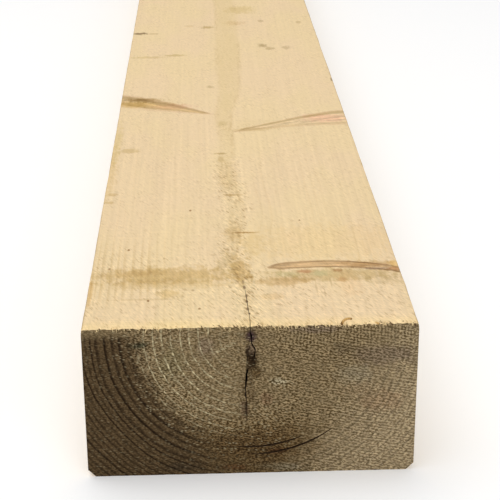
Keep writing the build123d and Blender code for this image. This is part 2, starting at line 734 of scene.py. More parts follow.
@dataclass(frozen=True)
class SawMarks:
    """The fine lines that saw teeth leave, in broken and wavering rows."""

    waver: float = 2.0  # how far a line strays, in mm
    waver_size: Triple = (15, 15, 7)  # size of that straying, in mm
    # size of the patches in which lines show, in mm
    patch_size: Triple = (6, 6, 2.2)

    def effect(self) -> Effect:
        """Draw up the group that gives the lines' height, from -1 to 1.

        Returns:
            The effect.
        """
        made = Effect(
            "saw_marks",
            {"Place": Socket.VECTOR, "Travel": Socket.VALUE, "Pitch": Socket.VALUE},
            {"Wave": Socket.VALUE},
        )
        graph = made.graph
        place = made.inlet("Place")
        stray = (graph.noise(place, self.waver_size, 2.0) - 0.5) * self.waver
        turn = (made.inlet("Travel") + stray) / made.inlet("Pitch") * math.tau
        patch = graph.noise(place, self.patch_size, 1.0).smooth(0.34, 0.6)
        made.give("Wave", graph.calc("SINE", turn) * patch)
        return made


class Tufts:
    """Fibre ends that the saw pulled up: short pale dashes and the pits beside them."""

    def __init__(self) -> None:
        """Draw up the group. Its place is scaled so that one dash is about a unit long."""
        outputs = {"Pale": Socket.VALUE, "Pit": Socket.VALUE, "Mottle": Socket.VALUE}
        self.effect = Effect("fibre_tufts", {"Place": Socket.VECTOR}, outputs)
        graph = self.effect.graph
        place = self.effect.inlet("Place")
        cells = graph.add("ShaderNodeTexVoronoi", feature="F1")
        cells.inputs["Scale"].default_value = 1.0
        graph.feed(cells.inputs["Vector"], place)
        away = Signal(graph, cells.outputs["Distance"])
        dice = graph.split(Signal(graph, cells.outputs["Color"]))[0]
        speck = away.smooth(0.58, 0.22)
        self.effect.give("Pale", speck * dice.smooth(0.66, 0.95))
        self.effect.give("Pit", speck * dice.smooth(0.38, 0.08))
        self.effect.give("Mottle", graph.noise(place, (1.0, 1.0, 1.0)) - 0.5)


@dataclass
class Workshop:
    """All the effects, drawn up once and shared by the finishes."""

    heart: Effect = field(default_factory=lambda: HeartLine().effect())  # the heart line
    rings: Effect = field(default_factory=lambda: GrowthRings().effect())  # the growth rings
    knots: KnotEffect = field(default_factory=KnotEffect)  # single branches
    whorls: Effect = field(default_factory=lambda: Whorls().effect())  # rings of branches
    stains: StainEffect = field(default_factory=StainEffect)  # stains
    saw: Effect = field(default_factory=lambda: SawMarks().effect())  # saw marks
    tufts: Tufts = field(default_factory=Tufts)  # fibre ends


class Sheet:
    """A material being drawn up: the place it reads in mm, and its colour so far."""

    HALF_LENGTH = 1200.0

    def __init__(self, name: str, shop: Workshop, ground: Colour) -> None:
        """Make the material, with one shader.

        Args:
            name: The material's name.
            shop: The shared effects.
            ground: The colour of the plain wood.
        """
        self.shop, self.ground, self.wood = shop, ground, ground
        self.material = bpy.data.materials.new(name)
        self.material.use_nodes = True
        self.graph = Graph(self.material.node_tree)
        self.shader = self.material.node_tree.nodes["Principled BSDF"]
        source = self.graph.add("ShaderNodeTexCoord")
        metres = Signal(self.graph, source.outputs["Object"])
        scaled = self.graph.vector_calc("SCALE", metres, 1 / MM)
        self.place = self.graph.vector_calc("ADD", scaled, (0.0, self.HALF_LENGTH, 0.0))
        self.across, self.along, self.up = self.graph.split(self.place)

    def patches(self, size: Triple, detail: float = 2.0) -> Signal:
        """Give soft random values over the place, in lumps of a size in mm."""
        return self.graph.noise(self.place, size, detail)

    def saw(self, travel: Signal, pitch: float) -> Signal:
        """Give the height of saw lines, by the saw's travel and their pitch in mm."""
        marks = self.shop.saw.place(self.graph, place=self.place, travel=travel, pitch=pitch)
        return marks["wave"]

    def tufts(self, place: Signal, shrink: Triple) -> dict[str, Signal]:
        """Give the fibre tufts.

        Args:
            place: Where to read them.
            shrink: What makes a dash about a unit long along each axis.

        Returns:
            Their pale, pit and mottle values.
        """
        scaled = self.graph.vector_calc("MULTIPLY", place, shrink)
        return self.shop.tufts.effect.place(self.graph, place=scaled)

    def lay(self, amount: Signal, colour: object) -> None:
        """Blend some of a colour over the wood."""
        self.wood = self.graph.blend(amount, self.wood, colour)

    def dye(self, dye: Signal, amount: Number = 1.0) -> None:
        """Multiply the wood's colour by another."""
        self.wood = self.graph.blend(amount, self.wood, dye, "MULTIPLY")

    def brighten(self, amount: Signal) -> None:
        """Multiply the wood's colour by a value."""
        self.wood = self.graph.brighten(self.wood, amount)

    def finish(self, roughness: Signal, height: Signal, depth: float, gloss: float) -> Material:
        """Feed the shader.

        Args:
            roughness: The surface's roughness.
            height: Its fine relief, about -1 to 1.
            depth: How deep a relief of 1 is, in mm.
            gloss: The shader's specular level.

        Returns:
            The finished material.
        """
        bump = self.graph.add("ShaderNodeBump")
        bump.inputs["Strength"].default_value = 1.0
        bump.inputs["Distance"].default_value = depth * MM
        self.graph.feed(bump.inputs["Height"], height)
        self.graph.feed(self.shader.inputs["Base Color"], self.wood)
        self.graph.feed(self.shader.inputs["Roughness"], roughness)
        self.graph.feed(self.shader.inputs["Normal"], Signal(self.graph, bump.outputs[0]))
        self.shader.inputs["Specular IOR Level"].default_value = gloss
        return self.material


class GrownSheet(Sheet):
    """A sheet for solid wood, which also knows its place in the tree and its rings."""

    def __init__(self, name: str, shop: Workshop, ground: Colour) -> None:
        """Make the material, and find its place in the tree.

        Args:
            name: The material's name.
            shop: The shared effects.
            ground: The colour of the plain wood.
        """
        super().__init__(name, shop, ground)
        heart = shop.heart.place(self.graph, place=self.place)
        self.tree, self.radius = heart["tree"], heart["radius"]
        self.rings: dict[str, Signal] = {}

    def grow(self, swirl: Number) -> None:
        """Lay the growth rings.

        Args:
            swirl: How far they bend round the knots, in mm.
        """
        self.rings = self.shop.rings.place(
            self.graph, tree=self.tree, radius=self.radius, swirl=swirl
        )


TOP = 100.0


def on_top(*rows: tuple) -> tuple[Stain, ...]:
    """Make stains on the top face.

    Args:
        rows: For each, its place across and in from the near end, half its size
            along each of these, its colour as seen, and its strength.

    Returns:
        The stains.
    """
    return tuple(
        Stain((across, along, TOP), (wide, long, 8), tint(colour), strength)
        for across, along, wide, long, colour, strength in rows
    )


def on_end(*rows: tuple) -> tuple[Stain, ...]:
    """Make stains on the near end, which reach some way into the wood.

    Args:
        rows: For each, its place across and its height, half its size along each
            of these, its colour as seen, and its strength.

    Returns:
        The stains.
    """
    return tuple(
        Stain((across, 0, up), (wide, 30, high), tint(colour), strength)
        for across, up, wide, high, colour, strength in rows
    )


NEAR_SPIKE = Knot(
    foot=81.0, azimuth=4.5, rake=0.468, bend=-0.0046, growth=0.30, thickness=5.1,
    heart=tint("d0ac7c"), rim=tint("886a3e"), far_rim=0.85, near_rim=0.8,
    rim_width=1.9, start=14.0,
)
FAR_SPIKE = Knot(
    foot=381.0, azimuth=1.0, rake=0.748, bend=-0.00298, growth=0.21, thickness=17.5,
    heart=tint("e5ca9e"), rim=tint("b89e6a"), far_rim=0.85, near_rim=0.35,
    rim_width=7.5, start=8.0,
)
DARK_SPIKE = Knot(
    foot=435.0, azimuth=179.0, rake=0.535, bend=0.0, growth=0.21, thickness=13.0,
    heart=tint("d8b882"), rim=tint("a88c5a"), far_rim=0.8, near_rim=0.35,
    rim_width=10.0, start=12.0,
)

EDGE_MARKS = (
    Stain((-98, 52, 98), (2.2, 22, 8), tint("d8b274"), 0.6),
    Stain((-100, 285, 99), (7, 70, 12), tint("dec28e"), 0.7),
    Stain((-97, 360, 99), (4, 60, 8), tint("d4bc7e"), 0.5),
    Stain((99, 553, 98), (2, 7, 6), tint("786040"), 0.8),
    Stain((-92, 754, 98), (9, 6, 8), tint("8c7450"), 0.9),
)
LEFT_BLOTCH = on_top(
    (-52, 79, 52, 14, "ceb078", 0.85),
    (-66, 83, 14, 6, "c8a872", 0.4),
    (-50, 65, 46, 9, "d4b884", 0.65),
    (-49, 49, 8, 7, "dbbe88", 0.8),
    (-64, 41, 22, 1.6, "d4ba8c", 0.6),
    (-96, 217, 5, 3, "c8aa74", 0.6),
    (-95, 234, 5, 4, "ccae78", 0.6),
    (-86, 339, 10, 7, "ccb27c", 0.7),
)
RIGHT_ZONE = on_top(
    (56, 132, 62, 36, "e7cc9c", 0.8),
    (5, 128, 8, 26, "e0c696", 0.6),
    (58, 75, 48, 11, "ceb482", 0.9),
    (24, 66, 18, 9, "d0b17e", 0.9),
    (89, 66, 14, 9, "d2ba8c", 0.7),
    (27, 76, 8, 5, "dbcea4", 0.7),
    (48, 77, 7, 5, "dcd2aa", 0.8),
    (38, 81, 5, 3.5, "c89266", 0.7),
    (59, 82, 3, 4, "b48654", 0.7),
    (60, 67, 3, 4, "cea068", 0.5),
    (64, 60, 9, 22, "e6c696", 0.5),
    (15, 42, 10, 5, "dcbc86", 0.5),
)
SPIKE_TINTS = on_top(
    (80, 92, 20, 6, "c29e66", 0.6),
    (84, 84, 9, 2.2, "cebca8", 0.8),
    (97, 91, 4, 6, "e8c06c", 0.6),
    (97, 83, 5, 3, "ce9a68", 0.6),
    (-88, 474, 16, 11, "dec07c", 0.7),
    (-80, 488, 18, 8, "c4a874", 0.95),
    (-84, 490, 9, 5, "ceb482", 0.9),
    (-72, 474, 26, 9, "d6ba86", 0.7),
    (-52, 466, 20, 9, "e4bc98", 0.6),
    (28, 408, 32, 14, "e2ca9e", 0.6),
    (16, 393, 18, 6, "d4ba8a", 0.8),
    (82, 424, 21, 13, "eac09e", 0.8),
)
PITH_MARKS = on_top(
    (1, 151.5, 9, 1.7, "b08a4e", 0.9),
    (-5, 229, 6.5, 2.2, "c4a470", 0.8),
    (-12, 328, 5, 2.6, "bca06c", 0.8),
    (-12, 312, 3, 12, "c4a874", 0.5),
    (-9, 412, 5, 9, "ceb684", 0.5),
    (-4, 84, 7, 24, "ceae76", 0.8),
    (-12, 98, 7, 20, "d2ba88", 0.6),
    (-5, 152, 7, 16, "d8bc8c", 0.7),
    (-8, 272, 8, 40, "dec496", 0.6),
)
FAR_MARKS = on_top(
    (-18, 531, 4, 5, "c4ac7e", 0.7),
    (-53, 655, 14, 5, "c8ae78", 0.7),
    (-78, 648, 18, 5, "d4ba86", 0.7),
    (-78, 752, 8, 4, "d0b488", 0.7),
    (-19, 780, 7, 7, "bea26c", 0.8),
    (-38, 787, 6, 5, "dabe8c", 0.6),
    (42, 809, 3, 8, "bea478", 0.6),
    (84, 801, 3, 8, "c4a87a", 0.6),
    (38, 692, 5, 9, "b29a70", 0.8),
    (46, 680, 5, 7, "bea67a", 0.7),
    (63, 683, 5, 8, "c6ae84", 0.7),
    (20, 868, 18, 22, "d8be88", 0.7),
    (12, 800, 12, 12, "dcbe8e", 0.6),
)
# Painted shade: dark dots along the heart check's narrow opening on the top face.
CHECK_SHADE = on_top(*(
    (across, along, 0.9, long, "604228", strength)
    for across, along, long, strength in (
        (-0.1, 17.6, 1.6, 1.0), (-1.0, 24.5, 2.4, 0.8), (-0.9, 35.4, 2.0, 0.9),
        (-1.0, 44.5, 2.6, 0.7), (-1.8, 57.0, 3.5, 0.7), (-2.3, 66.0, 3.0, 0.5),
    )
))
TEAR_OUTS = on_top(*(
    (across, along, 0.9, 1.6, "967042", strength)
    for across, along, strength in (
        (-77, 123, 0.9), (-88, 91, 0.8), (-61.5, 39, 1.0), (-30, 26, 0.9), (-53, 107, 0.4),
        (-36, 197, 0.9), (41, 174, 0.9), (-34, 54, 0.4), (12, 46, 0.3), (35, 52, 0.4),
    )
))
GRAIN_CRACKS = on_top(*(
    (across, along, 0.7, long, "b09262", 0.35)
    for across, along, long in ((43.3, 53, 14), (48, 46, 7), (64, 55, 5), (53, 62, 8))
))


@dataclass(frozen=True)
class LongGrain:
    """Sawn faces along the grain: pale, with knots, stains and fine saw lines."""

    early: Colour = tint("e9d1a7")  # colour of the wide, soft part of a ring
    late: Colour = tint("d6b886")  # colour of its hard part
    core: Colour = tint("e2c898")  # colour of the wood next to the pith
    edge: Colour = tint("ccae7c")  # colour of the soft line that bounds it
    pith: Colour = tint("967042")  # colour of the pith itself
    torn: Colour = tint("765a36")  # painted shadows of the torn fibres at the near end's upper arris, and some dark torn wood
    hole: Colour = tint("ac8854")  # painted shade in the small pits between its fibres
    # colour of the painted shade along the long arrises, where the eased arris turns from the
    # light
    worn: Colour = tint("b2966a")
    # what a yellowish stretch makes of the wood's colour
    yellowish: Colour = (1.0, 0.985, 0.94, 1.0)
    pinkish: Colour = (1.0, 0.97, 0.98, 1.0)  # what a pinkish stretch makes of it
    warm: Colour = (1.06, 1.05, 0.94, 1.0)  # what the sawn edge over the near end makes of it
    relief: float = 0.16  # depth of its relief, in mm
    gloss: float = 0.2  # the shader's specular level
    saw_pitch: float = 2.9  # from one saw line to the next, in mm
    # size of the lumps that roughen the knots, in mm
    lumps: Triple = (5, 7, 5)
    # size of the smears that roughen the stains, in mm
    smears: Triple = (1.7, 15, 1.7)
    # size of the streaks along the grain, in mm
    streaks: Triple = (2.6, 210, 2.6)
    # how far the core reaches from the pith, near and far, in mm
    core_reach: Pair = (4.9, 11.3)
    # distances in between which the core changes from near to far, in mm
    core_change: Pair = (300.0, 480.0)
    # how far across, and how high, the painted shade along a long arris starts and is full, in mm
    worn_out: tuple[Pair, ...] = ((98.3, 99.5), (97.5, 99.0))
    knots: tuple[Knot, ...] = (NEAR_SPIKE, FAR_SPIKE, DARK_SPIKE)  # its knots
    # its stains
    stains: tuple[Stain, ...] = (
        EDGE_MARKS + LEFT_BLOTCH + RIGHT_ZONE + SPIKE_TINTS + PITH_MARKS + FAR_MARKS
        + CHECK_SHADE + TEAR_OUTS + GRAIN_CRACKS
    )

    def make(self, shop: Workshop) -> Material:
        """Draw up the material.

        Args:
            shop: The shared effects.

        Returns:
            The material.
        """
        sheet = GrownSheet("long_grain", shop, self.early)
        graph = sheet.graph
        ragged = sheet.patches(self.lumps, 3.0) - 0.5
        smear = ragged * 0.9 + (sheet.patches(self.smears) - 0.5) * 0.5
        knots = shop.knots.lay(graph, sheet.tree, ragged, self.knots)
        knots = Whorls().lay(shop.whorls, graph, sheet.tree, ragged, knots)
        sheet.grow(knots["swirl"])
        self._rings(sheet)
        self._streaks(sheet)
        self._core(sheet)
        sheet.lay(knots["cover"], knots["colour"])
        shop.stains.lay(sheet, smear, self.stains)
        height = self._sawn(sheet)
        late, cover = sheet.rings["late"], knots["cover"]
        height = height + late * 0.3 + cover * 0.8
        roughness = late * -0.06 + cover * -0.12 + 0.88
        self._near_edge(sheet)
        self._arrises(sheet)
        sheet.dye(graph.blend(sheet.along.smooth(16.0, 2.0), WHITE, self.warm))
        return sheet.finish(roughness, height, self.relief, self.gloss)

    def _rings(self, sheet: GrownSheet) -> None:
        """Colour the rings, some years and some stretches more strongly than others.

        Args:
            sheet: The material being drawn up.
        """
        along = sheet.along
        stretch = sheet.patches((14, 160, 14)).smooth(0.3, 0.7).between(0.2, 1.0)
        far = along.smooth(520.0, 150.0).between(0.25, 1.0)
        strength = sheet.rings["year"].between(0.02, 0.38) * stretch * far
        sheet.lay(sheet.rings["late"] * strength, self.late)
        left = sheet.across.smooth(-44.0, -72.0) * along.smooth(160.0, 95.0)
        left = left * along.smooth(20.0, 60.0)
        sheet.lay(sheet.rings["dark"] * left * 0.36, self.edge)

    def _streaks(self, sheet: GrownSheet) -> None:
        """Lay streaks along the grain, and a slow drift from yellowish to pinkish.

        Args:
            sheet: The material being drawn up.
        """
        streak = sheet.patches(self.streaks, 3.0) - 0.5
        drift = sheet.patches((40, 130, 40), 3.0).smooth(0.36, 0.64)
        strength = sheet.along.smooth(560.0, 200.0).between(0.1, 0.24)
        sheet.brighten(streak * strength + 1.0)
        sheet.dye(sheet.graph.blend(drift, self.yellowish, self.pinkish))

    def _core(self, sheet: GrownSheet) -> None:
        """Colour the first rings, which a fine line bounds, and the pith itself.

        Args:
            sheet: The material being drawn up.
        """
        along = sheet.along
        first = along.smooth(340.0, 640.0).between(*self.core_reach)
        ragged = sheet.patches((2.4, 11, 2.4))
        patch = sheet.patches((8, 60, 8)).smooth(0.3, 0.65)
        gap = sheet.radius - first + (ragged - 0.5) * 3.0
        far = along.smooth(*self.core_change)
        shade = patch * far.between(0.4, 0.3) + far.between(0.35, 0.65)
        sheet.lay(gap.smooth(4.5, -4.0) * shade, self.core)
        line = gap.size().smooth(3.0, 0.2) * ragged.smooth(0.34, 0.6)
        sheet.lay(line * patch * 0.5, self.edge)
        pith = sheet.radius.smooth(2.4, 0.8) * ragged.smooth(0.44, 0.62)
        near = along.smooth(320.0, 150.0) * 0.5
        sheet.lay(pith * near, self.pith)

    def _sawn(self, sheet: GrownSheet) -> Signal:
        """Lay the saw lines and the pulled fibres, most along the core and the near end.

        Args:
            sheet: The material being drawn up.

        Returns:
            Their relief.
        """
        graph, across, along, up = sheet.graph, sheet.across, sheet.along, sheet.up
        patch = sheet.patches((34, 60, 34)).smooth(0.3, 0.72).between(0.5, 1.0)
        core = sheet.radius.smooth(15.0, 6.0) * along.smooth(370.0, 260.0) * 1.1
        fuzz = patch * 0.8 + core + along.smooth(150.0, 60.0) * 0.5
        askew = graph.combine(across * 0.8 + along * 0.34, along * 0.19, up * 0.8)
        tufts = sheet.tufts(askew, (1.0, 1.0, 1.0))
        light = tufts["mottle"] * 0.42 + tufts["pale"] * 0.12
        sheet.brighten(light * fuzz + 1.0)
        pits = tufts["pit"] * fuzz
        # Painted shade in the pits between the fibres.
        sheet.lay(graph.calc("MINIMUM", pits * 0.34, 1.0), self.hole)
        saw = sheet.saw(along + across * 0.05 + up * 0.03, self.saw_pitch)
        # Painted light and shade: a little lighter on the saw ridges, a little darker in their
        # grooves.
        sheet.brighten(saw * 0.03 + 1.0)
        return saw * 0.25 + tufts["mottle"] * fuzz * 2.0 - pits

    def _near_edge(self, sheet: GrownSheet) -> None:
        """Paint shadows of the torn fibres by the near end's upper arris, and some dark torn wood,
        most on its right half.

        Args:
            sheet: The material being drawn up.
        """
        graph, across, along = sheet.graph, sheet.across, sheet.along
        lean = graph.combine(across + along * 0.55, along * 0.4, sheet.up)
        reach = along * 0.075 + across.smooth(20.0, -30.0) * 0.07
        shadow_strokes = (graph.noise(lean, (2.1, 1.8, 2.4)) - reach).smooth(0.48, 0.58)
        # Painted shadows of the torn fibres, with some dark torn wood, on the top face next to the
        # near end.
        sheet.lay(shadow_strokes * along.smooth(7.0, 2.0) * 0.65, self.torn)

    def _arrises(self, sheet: GrownSheet) -> None:
        """Paint shade along the long arrises, in patches, and all along the right one further in.

        Args:
            sheet: The material being drawn up.
        """
        across = sheet.across
        side, top = self.worn_out
        painted_shade = across.size().smooth(*side) * sheet.up.smooth(*top)
        patch = sheet.patches((4, 26, 4)).smooth(0.34, 0.6)
        right_run = across.smooth(90.0, 99.0) * sheet.along.smooth(*self.core_change)
        painted_shade = painted_shade * sheet.graph.calc("MAXIMUM", patch, right_run)
        # Painted shade of the eased arrises, darker where they turn from the light.
        sheet.lay(painted_shade * 0.7, self.worn)


NEAR_END_STAINS = on_end(
    (-65.5, 88.5, 6, 2.6, "404230", 0.85),
    (-47, 76, 9, 11, "766c4c", 0.5),
    (79, 79, 22, 7, "6a5a48", 0.6),
    (56, 84, 8, 4, "5e503a", 0.5),
    (62, 67, 12, 7, "867a60", 0.6),
    (79, 49, 15, 8, "80684a", 0.6),
    (64, 56, 10, 5, "826e50", 0.5),
    (9, 51, 4, 5, "785c44", 0.5),
    (-12, 4.5, 10, 2.2, "745234", 0.6),
    (16, 15.5, 6, 2.6, "745438", 0.6),
    (18, 4, 12, 3, "968c73", 0.8),
    (-44, 5.5, 11, 3, "70644e", 0.7),
    (17, 62.5, 5, 2.6, "a0967a", 0.7),
    (0.9, 76.5, 4.6, 6.4, "3e2e1a", 1.0),
    (0.4, 77, 3.4, 5.2, "605038", 0.9),
    (2.8, 69, 3.8, 4.4, "544228", 0.9),
    # Painted shade: thin dark lines along the narrow lower heart check and along its fork.
    (-2.8, 44, 0.9, 11, "42301c", 0.8),
    (-2.0, 82, 1.1, 4.4, "463622", 0.9),
    (-1.5, 60, 4.2, 14, "625036", 0.7),
    (-3.8, 44, 3.0, 7, "604e3c", 0.7),
    (0.4, 84, 3.0, 5, "685646", 0.7),
    (-0.3, 93.5, 3.4, 4.4, "3e2d2e", 1.0),
    (-27, 87, 6, 7, "7e6c5a", 0.5),
    (38, 97, 16, 3, "6e5e50", 0.6),
    (8, 20, 34, 12, "6a5436", 0.5),
) + on_end(*(
    (-19.5 + 3.2 * step, 83.4 + 1.8 * step, 1.9, 0.7, "b8ac8a", 0.7)
    for step in range(4)
))


@dataclass(frozen=True)
class EndGrain:
    """The weathered crosscut: rings, saw lines and pulled fibres on brown wood."""

    name: str  # the material's name
    middle: Colour = tint("837152")  # colour round the pith
    right: Colour = tint("a69372")  # colour of the paler, greyer lower right
    low: Colour = tint("685435")  # colour of the browner wood below the middle
    sap: Colour = tint("291c0e")  # colour of the dark lines in the sapwood
    band: Colour = tint("584730")  # colour of the pale part of a sapwood ring
    line: Colour = tint("c4b792")  # colour of the thin pale lines between rings
    # what a gap between pulled fibres leaves of the wood's colour: painted shade in the gap, with
    # its own darker tone
    gap: Colour = (0.30, 0.245, 0.15, 1.0)
    pull: Colour = (1.78, 1.80, 1.88, 1.0)  # what a pulled fibre makes of it: painted light on the raised fibre, with its own paler tone
    speck: Colour = tint("c0b28e")  # colour of a fibre that stands on its own
    hole: Colour = tint("2e200f")  # painted shade in a deep pit between fibres
    clump: float = 0.9  # how much paler and darker whole clumps of fibres are
    clumps: Triple = (4.6, 4.6, 3.4)  # size of those clumps, in mm
    # size of one pulled fibre: along its row, inwards, and across rows, in mm
    dash: Triple = (1.7, 9.0, 0.85)
    slant: float = 0.2  # how far the rows of fibres fall towards the right, for each mm across
    saw_pitch: float = 2.0  # from one saw line to the next, in mm
    # distances from the pith between which the sapwood starts, in mm
    sap_start: Pair = (58.0, 75.0)
    # distances from the pith between which the pale lines end, in mm
    line_end: Pair = (74.0, 60.0)
    stray: float = 16.0  # how far all these distances stray, in mm
    # across, height and reach of a patch of bright fibres, in mm
    glint: Triple = (19.0, 62.5, 11.0)
    relief: float = 0.30  # depth of its relief, in mm
    gloss: float = 0.08  # the shader's specular level
    darkness: float = 1.0  # how much of the dark sapwood it has, 0 to 1
    stains: tuple[Stain, ...] = ()  # its stains

    def make(self, shop: Workshop) -> Material:
        """Draw up the material.

        Args:
            shop: The shared effects.

        Returns:
            The material.
        """
        sheet = GrownSheet(self.name, shop, self.middle)
        sheet.grow(0.0)
        ragged = sheet.patches((7, 7, 7), 3.0) - 0.5
        inner = sheet.radius + ragged * self.stray
        self._ground(sheet, ragged)
        self._sapwood(sheet, inner)
        shop.stains.lay(sheet, ragged, self.stains)
        height = self._weave(sheet, inner) + sheet.rings["late"] * 0.4
        self._lines(sheet, inner)
        return sheet.finish(height * -0.04 + 0.95, height, self.relief, self.gloss)

    def _ground(self, sheet: GrownSheet, ragged: Signal) -> None:
        """Lay the slow change from the middle to the lower right and the foot.

        Args:
            sheet: The material being drawn up.
            ragged: A soft random value.
        """
        across, up = sheet.across, sheet.up
        lateral = across - up * 0.65 + ragged * 26.0
        sheet.lay(lateral.smooth(0.0, 74.0), self.right)
        foot = (up + ragged * 18.0).smooth(50.0, 20.0)
        foot = foot * (across - up * 0.5 + ragged * 20.0).smooth(40.0, 8.0)
        sheet.lay(foot * 0.9, self.low)

    def _lower_right(self, sheet: GrownSheet) -> Signal:
        """Say how far a point lies towards the lower right, 0 to 1."""
        return (sheet.across - sheet.up * 0.8).smooth(-10.0, 55.0)

    def _sapwood(self, sheet: GrownSheet, inner: Signal) -> None:
        """Lay the dark sapwood, in bands, on the left and under the middle.

        Args:
            sheet: The material being drawn up.
            inner: Roughened distance from the pith, in mm.
        """
        across, up = sheet.across, sheet.up
        left = (across + up * 0.4).smooth(50.0, 6.0) * 0.35
        left = left + (across + up * 0.5).smooth(0.0, -36.0) * 0.65
        below = up.smooth(97.0, 91.0).between(0.25, 1.0)
        sap = inner.smooth(*self.sap_start) * left * below * self.darkness
        dark = sheet.rings["dark"] * sheet.rings["year"].between(0.5, 1.0)
        sheet.lay(sap, sheet.graph.blend(dark, self.band, self.sap))
        sheet.brighten(1.0 - dark * self._lower_right(sheet) * 0.36)

    def _lines(self, sheet: GrownSheet, inner: Signal) -> None:
        """Lay the thin pale lines between the rings round the pith.

        Args:
            sheet: The material being drawn up.
            inner: Roughened distance from the pith, in mm.
        """
        kept = inner.smooth(*self.line_end) * inner.smooth(18.0, 32.0).between(0.35, 1.0)
        kept = kept * sheet.across.smooth(4.0, -24.0) * self.darkness
        beads = sheet.patches((2.2, 2.2, 2.2), 3.0)
        line = sheet.rings["line"] * kept
        sheet.lay(line * beads.smooth(0.36, 0.58) * 0.8, self.line)
        sheet.brighten(line * beads.smooth(0.56, 0.66) * 0.6 + 1.0)

    def _weave(self, sheet: GrownSheet, inner: Signal) -> Signal:
        """Lay the saw lines and the pulled fibres: pale dashes over dark gaps, partly painted
        light and shade.

        Args:
            sheet: The material being drawn up.
            inner: Roughened distance from the pith, in mm.

        Returns:
            Their relief.
        """
        graph, across, up = sheet.graph, sheet.across, sheet.up
        row = up + across * self.slant
        on_row = graph.combine(across - up * self.slant, sheet.along, row)
        crown = up.smooth(82.0, 92.0) * across.smooth(4.0, 34.0)
        relief = (graph.noise(on_row, self.dash, 2.5) - 0.5) * 3.2
        relief = relief + sheet.saw(row, self.saw_pitch) * across.smooth(-30.0, 60.0) * 0.3
        relief = relief + sheet.saw(across, self.saw_pitch) * crown * 0.35
        glint = self._glint(sheet)
        fringe = inner.smooth(40.0, 56.0) * inner.smooth(88.0, 70.0) * across.smooth(45.0, 5.0)
        near = inner.smooth(64.0, 50.0) * across.smooth(20.0, -20.0) * 0.2
        still = inner.smooth(64.0, 80.0) * (across + up * 0.4).smooth(0.0, -44.0)
        patch = sheet.patches((22, 22, 15)).smooth(0.3, 0.7).between(0.7, 1.0)
        amount = 1.0 - still * 0.45 - self._lower_right(sheet) * 0.3 - near
        amount = patch * fringe.between(0.95, 1.15) * amount + glint
        # Painted light on the raised fibres and painted shade in the gaps, over their own paler
        # and darker tone.
        fibre_light_shade = graph.blend(relief.smooth(-0.26, 0.30), self.gap, self.pull)
        sheet.dye(fibre_light_shade, graph.calc("MINIMUM", amount, 1.0))
        sheet.brighten((sheet.patches(self.clumps) - 0.5) * self.clump + 1.0)
        tufts = sheet.tufts(on_row, (0.46, 0.3, 1.15))
        pits = tufts["pit"] * (fringe * 0.5 + near * 0.5 + glint * 0.6 + 0.15)
        # Painted shade in the deep pits between the fibres.
        sheet.lay(graph.calc("MINIMUM", pits, 1.0), self.hole)
        standing = tufts["pale"] * (fringe * 0.45 + near * 1.5 + glint + 0.2)
        sheet.lay(graph.calc("MINIMUM", standing, 1.0), self.speck)
        return relief * 1.2 + standing * 0.8 - tufts["pit"] * 0.4

    def _glint(self, sheet: GrownSheet) -> Signal:
        """Give the patch of bright fibres.

        Args:
            sheet: The material being drawn up.

        Returns:
            How bright the fibres are, 0 to 1.
        """
        middle, height, reach = self.glint
        spot = (sheet.across - middle).size() / reach
        spot = spot + (sheet.up - height).size() / reach * 1.6
        return spot.smooth(1.0, 0.5) * self.darkness


@dataclass(frozen=True)
class SplitWall:
    """The walls inside the splits, painted dark as the shade in them, darker further in."""

    mouth: Colour = tint("54402e")  # painted shade at the opening
    depth: Colour = tint("221812")  # deeper painted shade further in
    reach: float = 4.0  # how far in the painted shade deepens, in mm
    relief: float = 0.3  # depth of its relief, in mm
    gloss: float = 0.1  # the shader's specular level

    def make(self, shop: Workshop) -> Material:
        """Draw up the material.

        Args:
            shop: The shared effects.

        Returns:
            The material.
        """
        sheet = Sheet("split_wall", shop, self.mouth)
        fibres = sheet.tufts(sheet.place, (1.0, 0.25, 1.0))
        # Painted shade: darker the further in from the split's opening.
        sheet.lay(sheet.along.smooth(0.0, self.reach), self.depth)
        sheet.brighten(fibres["mottle"] * 1.6 + 1.0)
        roughness = fibres["pit"] * 0.05 + 0.9
        return sheet.finish(roughness, fibres["mottle"], self.relief, self.gloss)


@dataclass(frozen=True)
class FibreEnds:
    """Torn fibres and splinters: some pale, some darker, in random stretches along the arris."""

    name: str  # the material's name
    pale: Colour = tint("e8d09e")  # colour of a fresh one
    dark: Colour = tint("685034")  # colour of a darker one
    # size of the darker stretches along the arris, inwards and up, in mm
    dirt: Triple = (2.6, 40, 40)
    relief: float = 0.1  # depth of its relief, in mm
    gloss: float = 0.15  # the shader's specular level

    def make(self, shop: Workshop) -> Material:
        """Draw up the material.

        Args:
            shop: The shared effects.

        Returns:
            The material.
        """
        sheet = Sheet(self.name, shop, self.pale)
        sheet.lay(sheet.patches(self.dirt, 1.0).smooth(0.5, 0.62), self.dark)
        fibres = sheet.tufts(sheet.place, (4.0, 1.2, 2.0))
        sheet.brighten(fibres["mottle"] * 0.8 + 1.0)
        roughness = fibres["pit"] * 0.05 + 0.85
        return sheet.finish(roughness, fibres["mottle"], self.relief, self.gloss)


class Part(Enum):
    """What is picked in edit mode, each with the name of its select mode."""

    VERTS = "VERT"
    EDGES = "EDGE"
    FACES = "FACE"


@contextmanager
def editing(part: Part) -> Iterator[None]:
    """Stay in edit mode for a while, ready to pick one kind of part.

    Args:
        part: The kind of part.

    Yields:
        Nothing.
    """
    bpy.ops.object.mode_set(mode="EDIT")
    bpy.ops.mesh.select_mode(type=part.value)
    yield
    bpy.ops.object.mode_set(mode="OBJECT")


